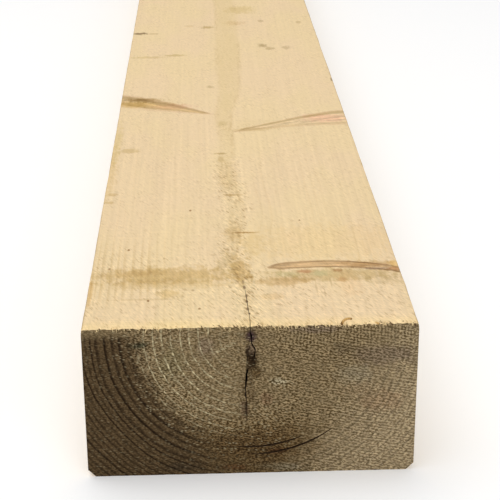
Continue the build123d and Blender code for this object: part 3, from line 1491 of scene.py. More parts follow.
def pick(obj: Object, part: Part, test: Callable[[object], bool]) -> None:
    """Select the parts of an object in edit mode that pass a test.

    Args:
        obj: The object, in edit mode.
        part: The kind of part.
        test: Says of each part whether it is wanted.
    """
    bpy.ops.mesh.select_all(action="DESELECT")
    mesh = bmesh.from_edit_mesh(obj.data)
    for element in getattr(mesh, part.name.lower()):
        if test(element):
            element.select_set(True)
    mesh.select_flush_mode()
    bmesh.update_edit_mesh(obj.data)


def face_outwards() -> None:
    """Turn all faces of the mesh in edit mode outwards."""
    bpy.ops.mesh.select_all(action="SELECT")
    bpy.ops.mesh.normals_make_consistent(inside=False)


def weigh(obj: Object, name: str, weight: Callable[[Vector], float]) -> str:
    """Give an object a vertex group whose weights depend on place.

    Args:
        obj: The object.
        name: The group's name.
        weight: Gives the weight at a place, 0 to 1.

    Returns:
        The group's name.
    """
    group = obj.vertex_groups.new(name=name)
    for vertex in obj.data.vertices:
        amount = weight(vertex.co)
        if amount > 0.0:
            group.add([vertex.index], min(amount, 1.0), "REPLACE")
    return name


def apply_modifier(obj: Object, kind: str, **settings: object) -> None:
    """Add a modifier to an object and apply it at once.

    Args:
        obj: The object.
        kind: The modifier's type.
        **settings: Properties to set on it.
    """
    bpy.ops.object.select_all(action="DESELECT")
    obj.select_set(True)
    bpy.context.view_layer.objects.active = obj
    modifier = obj.modifiers.new(kind.lower(), kind)
    for name, value in settings.items():
        setattr(modifier, name, value)
    bpy.ops.object.modifier_apply(modifier=modifier.name)


@dataclass(frozen=True)
class Relief:
    """Uneven wear that presses a surface inwards."""

    name: str  # its name
    direction: str  # the way it presses: NORMAL, or an axis
    depth: float  # how far it presses, in metres; below 0 is against the direction
    lump: float  # size of its lumps, in metres
    layers: int = 1  # how many finer layers of lumps it has

    def press(self, obj: Object, weight: Callable[[Vector], float]) -> None:
        """Press it into an object.

        Args:
            obj: The object.
            weight: Gives how much of it is pressed in at a place, 0 to 1.
        """
        group = weigh(obj, self.name, weight)
        clouds = bpy.data.textures.new(self.name, "CLOUDS")
        clouds.noise_scale = self.lump
        clouds.noise_depth = self.layers
        apply_modifier(
            obj, "DISPLACE", texture=clouds, texture_coords="LOCAL", mid_level=0.0,
            direction=self.direction, strength=self.depth, vertex_group=group,
        )


@dataclass(kw_only=True)
class Cutter:
    """A thin wedge that cuts a split into the near end."""

    name: str  # its name
    near_end: float  # where the end is along the sleeper, in metres
    run: float  # how far the split runs in from the end, in metres
    proud: float = 2 * MM  # how far the wedge stands out of the wood, in metres

    def plate(self, across: float, height: float, width: float, turn: float = 0.0) -> Object:
        """Add the plate that the wedge starts from.

        Args:
            across: Where its middle is across the end, in metres.
            height: Its height over the bed, in metres.
            width: Its width, in metres.
            turn: How far it is turned round the sleeper's length, in radians.

        Returns:
            The plate.
        """
        bpy.ops.object.select_all(action="DESELECT")
        length = self.run + self.proud
        middle = (across, self.near_end + length / 2 - self.proud, height)
        bpy.ops.mesh.primitive_plane_add(size=1, location=middle, rotation=(0, turn, 0))
        plate = bpy.context.object
        plate.name = self.name
        plate.scale = (width, length, 1.0)
        bpy.ops.object.transform_apply(location=True, rotation=True, scale=True)
        return plate


@dataclass(kw_only=True)
class Split(Cutter):
    """A drying split that follows a course down the near end."""

    # across, height and open width down the end, in metres
    stations: tuple[Triple, ...]
    drift: float = 0.0  # how far it strays across by the time it closes, in metres
    open_run: float = 12 * MM  # how far in it stays plainly open, in metres
    # share of its width that is left past its open run, and what share of that is left where it
    # closes
    squeeze: Pair = (0.45, 0.25)
    least_run: float = 0.1  # share of its run that is left at its foot

    def wedge(self) -> Object:
        """Model the wedge, from its mouth downwards.

        Returns:
            The wedge.
        """
        last = self.stations[0]
        wedge = self.plate(*last)
        with editing(Part.VERTS):
            self._close_back(wedge, last[1])
            bpy.ops.mesh.select_all(action="SELECT")
            for station in self.stations[1:]:
                across, height, width = station
                step = (across - last[0], 0.0, height - last[1])
                bpy.ops.mesh.extrude_region_move(TRANSFORM_OT_translate={"value": step})
                shrink = self._run_at(height) / self._run_at(last[1])
                bpy.ops.transform.resize(
                    value=(width / last[2], shrink, 1.0),
                    center_override=(across, self.near_end - self.proud, height),
                )
                last = station
            face_outwards()
        return wedge

    def _run_at(self, height: float) -> float:
        """Give the share of its run that the split still has at a height.

        Args:
            height: The height, in metres.

        Returns:
            The share, 1 at its mouth.
        """
        top, foot = self.stations[0][1], self.stations[-1][1]
        share = (top - height) / (top - foot)
        return math.sqrt(max(1 - share**2, self.least_run**2))

    def _close_back(self, wedge: Object, height: float) -> None:
        """Draw the wedge together past its open run, and let its far edge stray.

        Args:
            wedge: The wedge, in edit mode.
            height: Height of its first outline, in metres.
        """
        knee = self.near_end + self.open_run
        bpy.ops.mesh.select_all(action="SELECT")
        bpy.ops.mesh.bisect(plane_co=(0.0, knee, 0.0), plane_no=(0.0, 1.0, 0.0))
        back = self.near_end + self.run
        middle = (self.stations[0][0], 0.0, height)
        for start, squeeze, drift in zip((knee, back), self.squeeze, (0.0, self.drift)):
            pick(wedge, Part.VERTS, lambda v: v.co.y > start - HAIR)
            bpy.ops.transform.resize(value=(squeeze, 1.0, 1.0), center_override=middle)
            bpy.ops.transform.translate(value=(drift, 0.0, 0.0))


@dataclass(kw_only=True)
class Shake(Cutter):
    """A split along one growth ring."""

    pith: Pair  # across and height of the pith on the end, in metres
    radius: float  # the ring's radius, in metres
    span: Pair  # from and to, in degrees round the pith, below the level
    run: float = 7 * MM  # how far it runs in, in metres
    width: float = 1.3 * MM  # its widest opening, in metres
    least_width: float = 0.08  # share of its opening that is left at its two ends
    steps: int = 16  # straight runs along it

    def wedge(self) -> Object:
        """Model the curved cutter by turning a thin plate round the pith.

        Returns:
            The cutter.
        """
        start, stop = (math.radians(angle) for angle in self.span)
        spot = self._spot(start)
        wedge = self.plate(spot.x, spot.z, self.width, -start)
        with editing(Part.VERTS):
            bpy.ops.mesh.select_all(action="SELECT")
            bpy.ops.mesh.spin(
                steps=self.steps, angle=stop - start, center=(self.pith[0], 0.0, self.pith[1]),
                axis=(0.0, 1.0, 0.0),
            )
            for step in range(self.steps + 1):
                share = step / self.steps
                self._taper(wedge, self._spot(start + (stop - start) * share), share)
            face_outwards()
        return wedge

    def _spot(self, angle: float) -> Vector:
        """Give the ring's point on the end at an angle round the pith, in radians."""
        way = Vector((math.cos(angle), 0.0, math.sin(angle)))
        return Vector((self.pith[0], 0.0, self.pith[1])) + way * self.radius

    def _taper(self, wedge: Object, spot: Vector, share: float) -> None:
        """Draw one crosswise row of points together, most at the two ends.

        Args:
            wedge: The cutter, in edit mode.
            spot: The middle of the row.
            share: How far along the cutter the row is, 0 to 1.
        """
        close = self.width * 0.6
        pick(
            wedge, Part.VERTS,
            lambda v: math.hypot(v.co.x - spot.x, v.co.z - spot.z) < close,
        )
        squeeze = max(math.sin(math.pi * share) ** 0.6, self.least_width)
        bpy.ops.transform.resize(value=(squeeze, 1.0, squeeze), center_override=spot)


@dataclass
class Splits:
    """The heart check, its fork and the two ring shakes of the near end."""

    near_end: float  # where the end is along the sleeper, in metres
    pith: Pair = (0.0, 93.5)  # across and height of the pith on the end, in mm
    # the check's course down the end: across, height and width, in mm
    check: tuple[Triple, ...] = (
        (0.0, 101.0, 0.7), (-0.1, 97.0, 0.7), (0.0, 93.5, 1.1), (0.7, 88.7, 0.9),
        (2.2, 84.7, 0.9), (2.5, 81.5, 0.8), (1.0, 76.0, 0.25), (-1.9, 71.8, 0.3),
        (-2.6, 69.4, 1.2), (-3.0, 64.3, 1.3), (-3.3, 56.2, 1.0), (-2.8, 50.8, 0.6),
        (-2.9, 43.0, 0.45), (-2.6, 34.0, 0.15),
    )
    # the fork's course, in mm
    fork: tuple[Triple, ...] = (
        (-0.3, 91.5, 0.35), (-1.4, 84.2, 0.35), (-2.3, 77.0, 0.45), (-2.6, 68.5, 0.3),
    )
    run: float = 1.9  # length of the short straight runs along a course, in mm
    stray: float = 0.4  # how far they stray from it, in mm
    # least and most times that a run is as wide as its course says
    swell: Pair = (0.6, 1.35)
    seed: int = 4  # starts the random draws

    def wedges(self) -> list[Object]:
        """Model every cutter.

        Returns:
            The cutters.
        """
        rolls = random.Random(self.seed)
        check, fork = self._rough(self.check, rolls), self._rough(self.fork, rolls)
        end = {"near_end": self.near_end}
        ring = {"pith": (self.pith[0] * MM, self.pith[1] * MM), **end}
        cutters = (
            Split(name="heart_check", stations=check, run=57 * MM, drift=-1.8 * MM, **end),
            Split(name="check_fork", stations=fork, run=20 * MM, **end),
            Shake(name="outer_shake", radius=80.3 * MM, span=(-92.0, -51.0), **ring),
            Shake(name="inner_shake", radius=75.0 * MM, span=(-98.0, -64.0), **ring),
        )
        return [cutter.wedge() for cutter in cutters]

    def _rough(self, course: tuple[Triple, ...], rolls: random.Random) -> tuple[Triple, ...]:
        """Break a course into short runs that stray and change width, in metres.

        Args:
            course: Across, height and width down the end, in mm.
            rolls: Gives the random draws.

        Returns:
            The rough course, in metres.
        """
        rough = [course[0]]
        for start, stop in zip(course, course[1:]):
            runs = max(round((start[1] - stop[1]) / self.run), 1)
            for number in range(1, runs + 1):
                across, height, width = (
                    a + (b - a) * number / runs for a, b in zip(start, stop)
                )
                across += rolls.uniform(-self.stray, self.stray)
                rough.append((across, height, width * rolls.uniform(*self.swell)))
        return tuple((x * MM, z * MM, w * MM) for x, z, w in rough)

    def cut(self, obj: Object, wall: Material) -> None:
        """Cut the splits into an object.

        Args:
            obj: The object.
            wall: The material of the walls inside them.

        Raises:
            RuntimeError: If a cut leaves nothing of the object.
        """
        for wedge in self.wedges():
            wedge.data.materials.append(wall)
            apply_modifier(
                obj, "BOOLEAN", object=wedge, operation="DIFFERENCE", solver="EXACT",
                material_mode="TRANSFER",
            )
            if not obj.data.polygons:
                raise RuntimeError(f"the cut of {wedge.name} left nothing of the wood")
            bpy.data.objects.remove(wedge)


class Side(Enum):
    """The sides of the baulk, each with the corner and size of its chart on the map."""

    NEAR_END = (0.005, 0.70, 0.59, 0.295)
    FAR_END = (0.61, 0.70, 0.18, 0.09)
    WALL = (0.61, 0.81, 0.38, 0.18)
    TOP = (0.005, 0.385, 0.99, 0.305)
    BED = (0.005, 0.245, 0.99, 0.13)
    LEFT = (0.005, 0.125, 0.99, 0.11)
    RIGHT = (0.005, 0.005, 0.99, 0.11)


@dataclass(frozen=True)
class BakeMap:
    """The baulk's own map for baking, with most room for its near end."""

    low: Vector  # lowest corner of the sleeper, in metres
    high: Vector  # highest corner of the sleeper, in metres
    name: str = "OFBake"  # the map's name
    # distances in from the near end, in metres, each with its share of the length of a long
    # face's chart
    runs: tuple[Pair, ...] = (
        (-0.01, 0.0), (0.15, 0.16), (0.5, 0.36), (0.95, 0.56), (2.41, 1.0),
    )
    wall_run: float = 60 * MM  # how far in the charts of the splits' walls reach, in metres

    def lay(self, obj: Object) -> None:
        """Lay the map over an object.

        Args:
            obj: The object.
        """
        spots = obj.data.uv_layers.new(name=self.name).uv
        for face in obj.data.polygons:
            side = self._side(face)
            left, foot, wide, tall = side.value
            for corner in face.loop_indices:
                place = obj.data.vertices[obj.data.loops[corner].vertex_index].co
                u, v = self._spot(side, place)
                spots[corner].vector = (left + wide * u, foot + tall * v)

    def _side(self, face: bpy.types.MeshPolygon) -> Side:
        """Tell which side a face is on, by its material and the way it faces.

        Args:
            face: The face.

        Returns:
            The side.
        """
        if face.material_index:
            return (Side.NEAR_END, Side.FAR_END, Side.WALL)[face.material_index - 1]
        across, up = face.normal.x, face.normal.z
        if abs(up) > abs(across):
            return Side.TOP if up > 0 else Side.BED
        return Side.RIGHT if across > 0 else Side.LEFT

    def _spot(self, side: Side, place: Vector) -> Pair:
        """Give a place's spot on its side's chart, which no side shows mirrored.

        Args:
            side: The side.
            place: The place, in metres.

        Returns:
            Its shares of the chart's width and height.
        """
        size = self.high - self.low
        across, along, up = place - self.low
        across, up = across / size.x, up / size.z
        if side in (Side.NEAR_END, Side.FAR_END):
            return (across if side is Side.NEAR_END else 1 - across), up
        if side is Side.WALL:
            return min(along / self.wall_run, 1.0), up
        for (start, first), (stop, last) in zip(self.runs, self.runs[1:]):
            if along <= stop:
                break
        run = first + (last - first) * (along - start) / (stop - start)
        return run, {
            Side.TOP: 1 - across, Side.BED: across, Side.LEFT: 1 - up, Side.RIGHT: up
        }[side]


@dataclass
class Baulk:
    """The sawn baulk itself, which stands for the sleeper's node."""

    low: Vector  # lowest corner of the node, in metres
    high: Vector  # highest corner of the node, in metres
    lower_bevel: float = 4.5 * MM  # flat sawn off each lower arris, in metres
    upper_easing: float = 0.8 * MM  # flat worn on each upper arris, in metres
    station: float = 20 * MM  # length of the coarsest faces, in metres
    # how far in from the near end and how far down from the top faces are halved once more, in
    # metres
    fine_zones: tuple[Pair, ...] = (
        (120 * MM, 101 * MM), (60 * MM, 101 * MM), (20 * MM, 101 * MM), (5 * MM, 101 * MM),
        (5 * MM, 5 * MM),
    )
    torn: float = 3.2 * MM  # how far from the near end's upper arris its wood is torn, in metres
    eased: float = 14 * MM  # how far in the top face is worn down towards that arris, in metres
    rounded: float = 5 * MM  # how far from a long arris its wood is worn, in metres
    # across, distance in and reach of the hollow that a splinter left
    hollow: Triple = (58 * MM, 4 * MM, 8 * MM)
    hollow_slope: float = 1.3  # how fast that hollow reaches its full depth
    crust: float = 2 * MM  # how far down a place still counts as on the top face, in metres
    end_tilt: float = 0.75  # how squarely a face looks along the sleeper to count as end grain
    far_darkness: float = 0.45  # how much of the dark sapwood the far end has, 0 to 1
    soft_angle: float = 32.0  # angle between faces up to which they are shaded as one, in degrees

    def build(self, shop: Workshop) -> Object:
        """Model the baulk, dress it and cut its splits.

        Args:
            shop: The shared effects.

        Returns:
            The finished object.
        """
        obj = self._block()
        self._bevels(obj)
        self._grid()
        self._refine(obj)
        self._wear(obj)
        self._dress(obj, shop)
        Splits(self.low.y).cut(obj, SplitWall().make(shop))
        bpy.ops.object.shade_smooth_by_angle(angle=math.radians(self.soft_angle))
        BakeMap(self.low, self.high).lay(obj)
        return obj

    def _block(self) -> Object:
        """Add the squared block at its size and place.

        Returns:
            The block.
        """
        bpy.ops.object.select_all(action="DESELECT")
        middle = (self.low + self.high) / 2
        bpy.ops.mesh.primitive_cube_add(size=1, location=middle, scale=self.high - self.low)
        bpy.ops.object.transform_apply(location=True, rotation=True, scale=True)
        obj = bpy.context.object
        obj.name = obj.data.name = "sleeper_baulk"
        return obj

    def _bevels(self, obj: Object) -> None:
        """Bevel the two lower arrises, and ease the two upper ones.

        Args:
            obj: The block.
        """
        with editing(Part.EDGES):
            for height, width in (
                (self.low.z, self.lower_bevel), (self.high.z, self.upper_easing)
            ):
                pick(obj, Part.EDGES, lambda e: self._is_arris(e, height))
                bpy.ops.mesh.bevel(
                    offset=width, offset_type="OFFSET", segments=1, affect="EDGES"
                )

    def _is_arris(self, edge: bmesh.types.BMEdge, height: float) -> bool:
        """Tell whether an edge is a long arris at a height."""
        level = all(abs(v.co.z - height) < TOUCH for v in edge.verts)
        return level and edge.calc_length() > (self.high.y - self.low.y) / 2

    def _grid(self) -> None:
        """Cut the block into faces of about one station."""
        half = (self.high.x - self.low.x) / 2
        inner, brow = half - self.lower_bevel, self.high.z - self.upper_easing
        wide, high, long = (
            round(size / self.station) for size in (half, self.high.z, self.high.y - self.low.y)
        )
        with editing(Part.EDGES):
            self._cuts([*(i * self.station for i in range(1 - wide, wide)), -inner, inner], 0)
            self._cuts([*(i * self.station for i in range(1, high)), self.lower_bevel, brow], 2)
            self._cuts([self.low.y + i * self.station for i in range(1, long)], 1)

    def _cuts(self, places: Iterable[float], axis: int) -> None:
        """Slice the whole mesh at places along an axis.

        Args:
            places: The places, in metres.
            axis: The axis: 0, 1 or 2.
        """
        normal = Vector([float(number == axis) for number in range(3)])
        for place in places:
            bpy.ops.mesh.select_all(action="SELECT")
            bpy.ops.mesh.bisect(plane_co=normal * place, plane_no=normal)

    def _refine(self, obj: Object) -> None:
        """Halve the faces near the near end, more often the nearer they are.

        Args:
            obj: The block.
        """
        with editing(Part.FACES):
            for reach, depth in self.fine_zones:
                limit, floor = self.low.y + reach + TOUCH, self.high.z - depth - TOUCH
                pick(
                    obj, Part.FACES,
                    lambda f: all(v.co.y < limit and v.co.z > floor for v in f.verts),
                )
                bpy.ops.mesh.subdivide(number_cuts=1)

    def _wear(self, obj: Object) -> None:
        """Press wear into the faces and the arrises.

        Args:
            obj: The block.
        """
        front, top = self.low.y, self.high.z

        def front_arris(place: Vector) -> float:
            """Weight of a place by its nearness to the arris over the near end."""
            return 1 - math.hypot(place.y - front, place.z - top) / self.torn

        def near_top(place: Vector) -> float:
            """Weight of a place on the top face by its nearness to the near end."""
            return 1 - (place.y - front) / self.eased if place.z > top - self.crust else 0.0

        def long_arrises(place: Vector) -> float:
            """Weight of a place by its nearness to the four long arrises."""
            side = self.high.x - abs(place.x)
            return 1 - math.hypot(side, min(top - place.z, place.z)) / self.rounded

        def end_face(place: Vector) -> float:
            """Weight 1 on the near end."""
            return 1.0 if place.y < front + TOUCH else 0.0

        def far_face(place: Vector) -> float:
            """Weight 1 on the far end."""
            return 1.0 if place.y > self.high.y - TOUCH else 0.0

        def long_faces(place: Vector) -> float:
            """Weight that grows from 0 at the near end."""
            return min((place.y - front) / self.station, 1.0)

        def under_splinter(place: Vector) -> float:
            """Weigh a place on the top face by its nearness to the hollow's middle.

            Args:
                place: The place.

            Returns:
                The weight, 1 in the middle.
            """
            across, back, reach = self.hollow
            near = 1 - math.hypot(place.x - across, place.y - front - back) / reach
            return near * self.hollow_slope if place.z >= top - self.crust else 0.0

        for relief, weight in (
            (Relief("end_wear", "Y", 0.45 * MM, 9 * MM, 2), end_face),
            (Relief("far_wear", "Y", -0.4 * MM, 30 * MM), far_face),
            (Relief("face_wear", "NORMAL", -0.35 * MM, 70 * MM), long_faces),
            (Relief("arris_wear", "NORMAL", -0.8 * MM, 26 * MM, 2), long_arrises),
            (Relief("top_wear", "Z", -0.9 * MM, 18 * MM, 2), near_top),
            (Relief("hollow", "Z", -1.3 * MM, 30 * MM), under_splinter),
            (Relief("torn_back", "Y", 1.7 * MM, 1.9 * MM, 2), front_arris),
            (Relief("torn_down", "Z", -1.9 * MM, 3.2 * MM, 2), front_arris),
        ):
            relief.press(obj, weight)

    def _dress(self, obj: Object, shop: Workshop) -> None:
        """Give each face its finish: along the grain, near end or far end.

        Args:
            obj: The block.
            shop: The shared effects.
        """
        near = EndGrain("near_end_grain", stains=NEAR_END_STAINS)
        far = EndGrain("far_end_grain", darkness=self.far_darkness)
        for finish in (LongGrain(), near, far):
            obj.data.materials.append(finish.make(shop))
        middle = (self.low.y + self.high.y) / 2
        for face in obj.data.polygons:
            face.material_index = 0
            if abs(face.normal.y) > self.end_tilt:
                face.material_index = 1 if face.center.y < middle else 2


@dataclass(frozen=True)
class Sliver:
    """A thin strand of wood that tapers and curls."""

    length: float  # its length, in metres
    width: float  # its width at the root, in metres
    curl: float  # how far it turns from root to tip, in degrees
    steps: int = 4  # straight runs along it
    sides: int = 5  # sides round it
    tip: float = 0.2  # its width at the tip, as a share of the root's
    soft_angle: float = 80.0  # angle between faces up to which they are shaded as one, in degrees

    def model(self, name: str) -> Object:
        """Model it from its root at the origin, rising in Z and curling towards Y.

        Args:
            name: The object's name.

        Returns:
            The object.
        """
        bpy.ops.object.select_all(action="DESELECT")
        bpy.ops.mesh.primitive_circle_add(
            vertices=self.sides, radius=self.width / 2, fill_type="NGON"
        )
        obj = bpy.context.object
        obj.name = obj.data.name = name
        run, turn = self.length / self.steps, math.radians(self.curl) / self.steps
        squeeze = self.tip ** (1 / self.steps)
        end = Vector((0.0, 0.0, 0.0))
        with editing(Part.FACES):
            bpy.ops.mesh.select_all(action="SELECT")
            for step in range(self.steps):
                lean = turn * (step + 0.5)
                move = Vector((0.0, math.sin(lean), math.cos(lean))) * run
                end += move
                bpy.ops.mesh.extrude_region_move(TRANSFORM_OT_translate={"value": move})
                bpy.ops.transform.rotate(value=turn, orient_axis="X", center_override=end)
                bpy.ops.transform.resize(value=(squeeze,) * 3, center_override=end)
            face_outwards()
        bpy.ops.object.shade_smooth_by_angle(angle=math.radians(self.soft_angle))
        return obj


@dataclass(frozen=True)
class Bunch:
    """Torn fibres that lean alike. Each pair is the least and the most."""

    count: int  # how many there are
    sideways: Pair  # how far they lean across
    inwards: Pair  # how far they lean in over the top
    upwards: float  # how far they point up
    root_in: Pair  # how far in from the end their roots are, in mm
    root_down: Pair  # how far below the top their roots are, in mm
    stretch: Pair  # how many times as long as the model they are


@dataclass(frozen=True)
class Splinter:
    """A splinter that curls up on its own."""

    name: str  # its name
    sliver: Sliver  # its strand
    # across, distance in from the end, and height over the top, in mm
    root: Triple
    way: Pair  # across and in, the way that it leaves its root
    bend: Pair  # across and in, the way that it curls
    stretch: float = 1.0  # how much longer it is drawn the way that it leaves

    RISE: ClassVar[float] = 0.045  # how far it points up as it leaves

    def turn(self) -> Matrix:
        """Give the matrix that turns and stretches its strand.

        Returns:
            The matrix.
        """
        along = Vector((*self.way, self.RISE)).normalized()
        aside = Vector((*self.bend, 0.0))
        aside = (aside - along * aside.dot(along)).normalized()
        return Matrix((aside.cross(along), aside, along * self.stretch)).transposed().to_4x4()


@dataclass
class TornArris:
    """The fibres and splinters that the saw tore up along the near end's upper arris."""

    low: Vector  # lowest corner of the sleeper, in metres
    high: Vector  # highest corner of the sleeper, in metres
    # the fibre that all the short ones are copied from
    fibre: Sliver = Sliver(1 * MM, 0.38 * MM, 50)
    # the fibres that stand up, and those that hang down over the end
    bunches: tuple[Bunch, ...] = (
        Bunch(70, (-0.9, -0.2), (0.5, 1.0), 0.55, (0.1, 0.9), (0.5, 1.4), (2.0, 6.0)),
        Bunch(80, (-0.2, 0.8), (-0.3, 0.1), -1.0, (0.3, 0.9), (0.2, 1.4), (1.2, 3.2)),
    )
    # least and most times that a fibre is as thick as the model
    thickness: Pair = (1.2, 3.2)
    clear: float = 2 * MM  # how far from the arris's two ends its fibres stay, in metres
    moved: float = 0.45  # share of the left half's fibres that stand on the right half instead
    # the long splinters
    splinters: tuple[Splinter, ...] = (
        Splinter(
            "curled_splinter", Sliver(8.4 * MM, 1.5 * MM, 112, 12, 6, 0.7),
            (54.0, 1.4, -1.0), (0.1, 0.97), (1.0, -0.2), 1.8,
        ),
        Splinter(
            "short_splinter", Sliver(8 * MM, 1.5 * MM, -40, 6, 6, 0.3),
            (76.0, 0.9, -1.0), (-0.6, 0.8), (1.0, 0.3),
        ),
        Splinter(
            "looped_splinter", Sliver(8 * MM, 0.6 * MM, 230, 12, 6, 0.4),
            (-44.0, 0.8, -0.7), (0.1, 1.0), (1.0, 0.0),
        ),
    )
    skin: float = 0.03 * MM  # how far inside the sleeper's box everything stays, in metres
    seed: int = 11  # starts the random draws

    def build(self, shop: Workshop) -> list[Object]:
        """Model the fibres and the splinters.

        Args:
            shop: The shared effects.

        Returns:
            The pieces.
        """
        fibres = self._fibres()
        splinters = [self._splinter(splinter) for splinter in self.splinters]
        fibres.data.materials.append(FibreEnds("fibre_ends").make(shop))
        fresh = FibreEnds("splinter_wood", tint("cea668"), tint("7a5a2c")).make(shop)
        for splinter in splinters:
            splinter.data.materials.append(fresh)
        return [fibres, *splinters]

    def _fibres(self) -> Object:
        """Copy one fibre along the arris, raised and hanging ones, as one piece.

        Returns:
            The piece.
        """
        rolls = random.Random(self.seed)
        model = self.fibre.model("torn_fibre")
        copies = []
        for bunch in self.bunches:
            for _ in range(bunch.count):
                across = self._across(rolls)
                sideways, inwards = rolls.uniform(*bunch.sideways), rolls.uniform(*bunch.inwards)
                way = Vector((sideways, inwards, bunch.upwards))
                root_in, root_down = rolls.uniform(*bunch.root_in), rolls.uniform(*bunch.root_down)
                root = (across, root_in * MM, -root_down * MM)
                stretch, thick = rolls.uniform(*bunch.stretch), rolls.uniform(*self.thickness)
                turn = way.to_track_quat("Z", "Y").to_matrix().to_4x4()
                size = Matrix.Diagonal((thick, thick, stretch, 1.0))
                twist = Matrix.Rotation(rolls.uniform(0, math.tau), 4, "Z")
                copies.append(self._copy(model, root, turn @ size @ twist))
        bpy.data.objects.remove(model)
        return self._join(copies, "torn_fibres")

    def _across(self, rolls: random.Random) -> float:
        """Draw a place across the arris, more often on its right half.

        Args:
            rolls: Gives the random draws.

        Returns:
            The place, in metres.
        """
        half = self.high.x - self.clear
        across = rolls.uniform(-half, half)
        if across < 0 and rolls.random() < self.moved:
            across = -across
        return across

    def _splinter(self, splinter: Splinter) -> Object:
        """Model one splinter.

        Args:
            splinter: Its sizes and place.

        Returns:
            The piece.
        """
        model = splinter.sliver.model("splinter_model")
        root = tuple(value * MM for value in splinter.root)
        piece = self._join([self._copy(model, root, splinter.turn())], splinter.name)
        bpy.data.objects.remove(model)
        return piece

    def _copy(self, model: Object, root: Triple, turn: Matrix) -> Object:
        """Copy a strand to a place on the arris, and keep it inside the sleeper's box.

        Args:
            model: The strand, with its root at the origin.
            root: Across, distance in from the near end, and height over the top.
            turn: How it is turned and sized.

        Returns:
            The copy.
        """
        copy = model.copy()
        copy.data = model.data.copy()
        bpy.context.scene.collection.objects.link(copy)
        spot = Vector((root[0], self.low.y + root[1], self.high.z + root[2]))
        places = [spot + turn @ v.co for v in model.data.vertices]
        spot.z -= max(max(p.z for p in places) - (self.high.z - self.skin), 0.0)
        spot.y += max(self.low.y + self.skin - min(p.y for p in places), 0.0)
        copy.matrix_world = Matrix.Translation(spot) @ turn
        return copy

    def _join(self, copies: list[Object], name: str) -> Object:
        """Join copies to one object at the origin.

        Args:
            copies: The copies.
            name: The object's name.

        Returns:
            The object.
        """
        bpy.ops.object.select_all(action="DESELECT")
        for copy in copies:
            copy.select_set(True)
        bpy.context.view_layer.objects.active = copies[0]
        if len(copies) > 1:
            bpy.ops.object.join()
        bpy.ops.object.transform_apply(location=True, rotation=True, scale=True)
        joined = bpy.context.object
        joined.name = joined.data.name = name
        return joined


@dataclass(frozen=True)
class Lamp:
    """A soft square lamp."""

    name: str  # its name
    place: Triple  # where it hangs, in metres
    target: Triple  # where it points, in metres
    size: float  # its side, in metres
    watts: float  # its strength

    def hang(self) -> None:
        """Hang it in the studio."""
        data = bpy.data.lights.new(self.name, "AREA")
        data.size = self.size
        data.energy = self.watts
        lamp = bpy.data.objects.new(self.name, data)
        lamp.location = self.place
        way = Vector(self.target) - Vector(self.place)
        lamp.rotation_euler = way.to_track_quat("-Z", "Y").to_euler()
        bpy.context.scene.collection.objects.link(lamp)


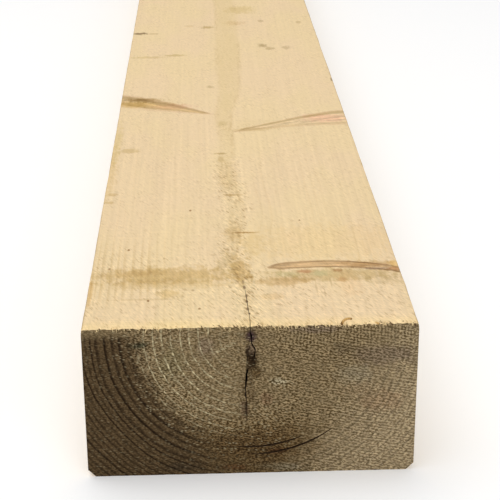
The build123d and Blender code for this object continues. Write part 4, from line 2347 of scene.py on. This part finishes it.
@dataclass(frozen=True)
class Studio:
    """The plain floor, the soft light and the camera."""

    # where the camera stands, in metres
    camera_place: Triple = (-0.0264, -1.9402, 0.4475)
    pitch: float = 22.01  # how far it looks down, in degrees
    yaw: float = 2.03  # how far it looks towards +X, in degrees
    roll: float = -0.31  # how far it leans, in degrees
    film: float = 36.0  # width of its film, in mm
    lens: float = 99.9  # its focal length, in mm
    floor_size: float = 60.0  # side of the floor, in metres
    floor_glow: float = 0.11  # how much light the floor adds where the camera sees it
    air: float = 0.5  # strength of the even light that fills the room
    # A large soft lamp over the sleeper and a weaker one in front
    lamps: tuple[Lamp, ...] = (
        Lamp("over_lamp", (-0.6, -0.6, 3.2), (0.0, -0.2, 0.0), 3.0, 58.0),
        Lamp("front_lamp", (0.9, -4.0, 1.6), (0.0, -1.2, 0.05), 2.0, 26.0),
    )

    def build(self) -> None:
        """Set the floor, the light, the world and the camera."""
        self._camera()
        self._floor()
        for lamp in self.lamps:
            lamp.hang()
        self._world()
        bpy.context.scene.view_settings.view_transform = "Standard"

    def _camera(self) -> None:
        """Stand the camera at the viewing angle."""
        data = bpy.data.cameras.new("viewpoint")
        data.lens = self.lens
        data.sensor_width = self.film
        camera = bpy.data.objects.new("viewpoint", data)
        bpy.context.scene.collection.objects.link(camera)
        turn = Euler((math.radians(90 - self.pitch), 0.0, math.radians(-self.yaw)), "XYZ")
        lean = Matrix.Rotation(math.radians(self.roll), 4, "Z")
        camera.matrix_world = (
            Matrix.Translation(self.camera_place) @ turn.to_matrix().to_4x4() @ lean
        )
        bpy.context.scene.camera = camera

    def _floor(self) -> None:
        """Lay the pale floor, which shows from above only."""
        bpy.ops.object.select_all(action="DESELECT")
        bpy.ops.mesh.primitive_plane_add(size=self.floor_size, location=(0, 0, 0))
        floor = bpy.context.object
        floor.name = "studio_floor"
        material = bpy.data.materials.new("pale_floor")
        material.use_nodes = True
        graph = Graph(material.node_tree)
        shader = material.node_tree.nodes["Principled BSDF"]
        shader.inputs["Base Color"].default_value = tint("f7f7f7")
        shader.inputs["Roughness"].default_value = 1.0
        shader.inputs["Specular IOR Level"].default_value = 0.0
        shader.inputs["Emission Color"].default_value = WHITE
        path = graph.add("ShaderNodeLightPath")
        seen = Signal(graph, path.outputs["Is Camera Ray"])
        graph.feed(shader.inputs["Emission Strength"], seen * self.floor_glow)
        clear = graph.add("ShaderNodeBsdfTransparent")
        side = graph.add("ShaderNodeNewGeometry")
        mix = graph.add("ShaderNodeMixShader")
        links = material.node_tree.links
        links.new(side.outputs["Backfacing"], mix.inputs[0])
        links.new(shader.outputs[0], mix.inputs[1])
        links.new(clear.outputs[0], mix.inputs[2])
        links.new(mix.outputs[0], material.node_tree.nodes["Material Output"].inputs[0])
        floor.data.materials.append(material)

    def _world(self) -> None:
        """Fill the room with even light, and show white behind the sleeper."""
        world = bpy.data.worlds.new("studio_air")
        bpy.context.scene.world = world
        world.use_nodes = True
        graph = Graph(world.node_tree)
        background = world.node_tree.nodes["Background"]
        path = graph.add("ShaderNodeLightPath")
        seen = Signal(graph, path.outputs["Is Camera Ray"])
        for ray in ("Is Glossy Ray", "Is Transmission Ray"):
            seen = graph.calc("MAXIMUM", seen, Signal(graph, path.outputs[ray]))
        background.inputs["Color"].default_value = WHITE
        graph.feed(background.inputs["Strength"], seen.between(self.air, 1.0))


class Sleeper:
    """The whole sleeper: the baulk, and the fibres that stand from its torn arris."""

    def build(self) -> list[Object]:
        """Model and dress every piece.

        Returns:
            The pieces.
        """
        shop = Workshop()
        low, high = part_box(NODE)
        low, high = Vector(low), Vector(high)
        baulk = Baulk(low, high).build(shop)
        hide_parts(NODE)
        pieces = [baulk, *TornArris(low, high).build(shop)]
        for piece in pieces:
            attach(piece, BODY)
        return pieces


def main() -> None:
    """Build the sleeper and its studio, and log each piece's number of faces."""
    logging.basicConfig(level=logging.INFO, format="%(name)s: %(message)s")
    Studio().build()
    for piece in Sleeper().build():
        log.info("%s: %d faces", piece.name, len(piece.data.polygons))


if __name__ == "__main__":
    main()
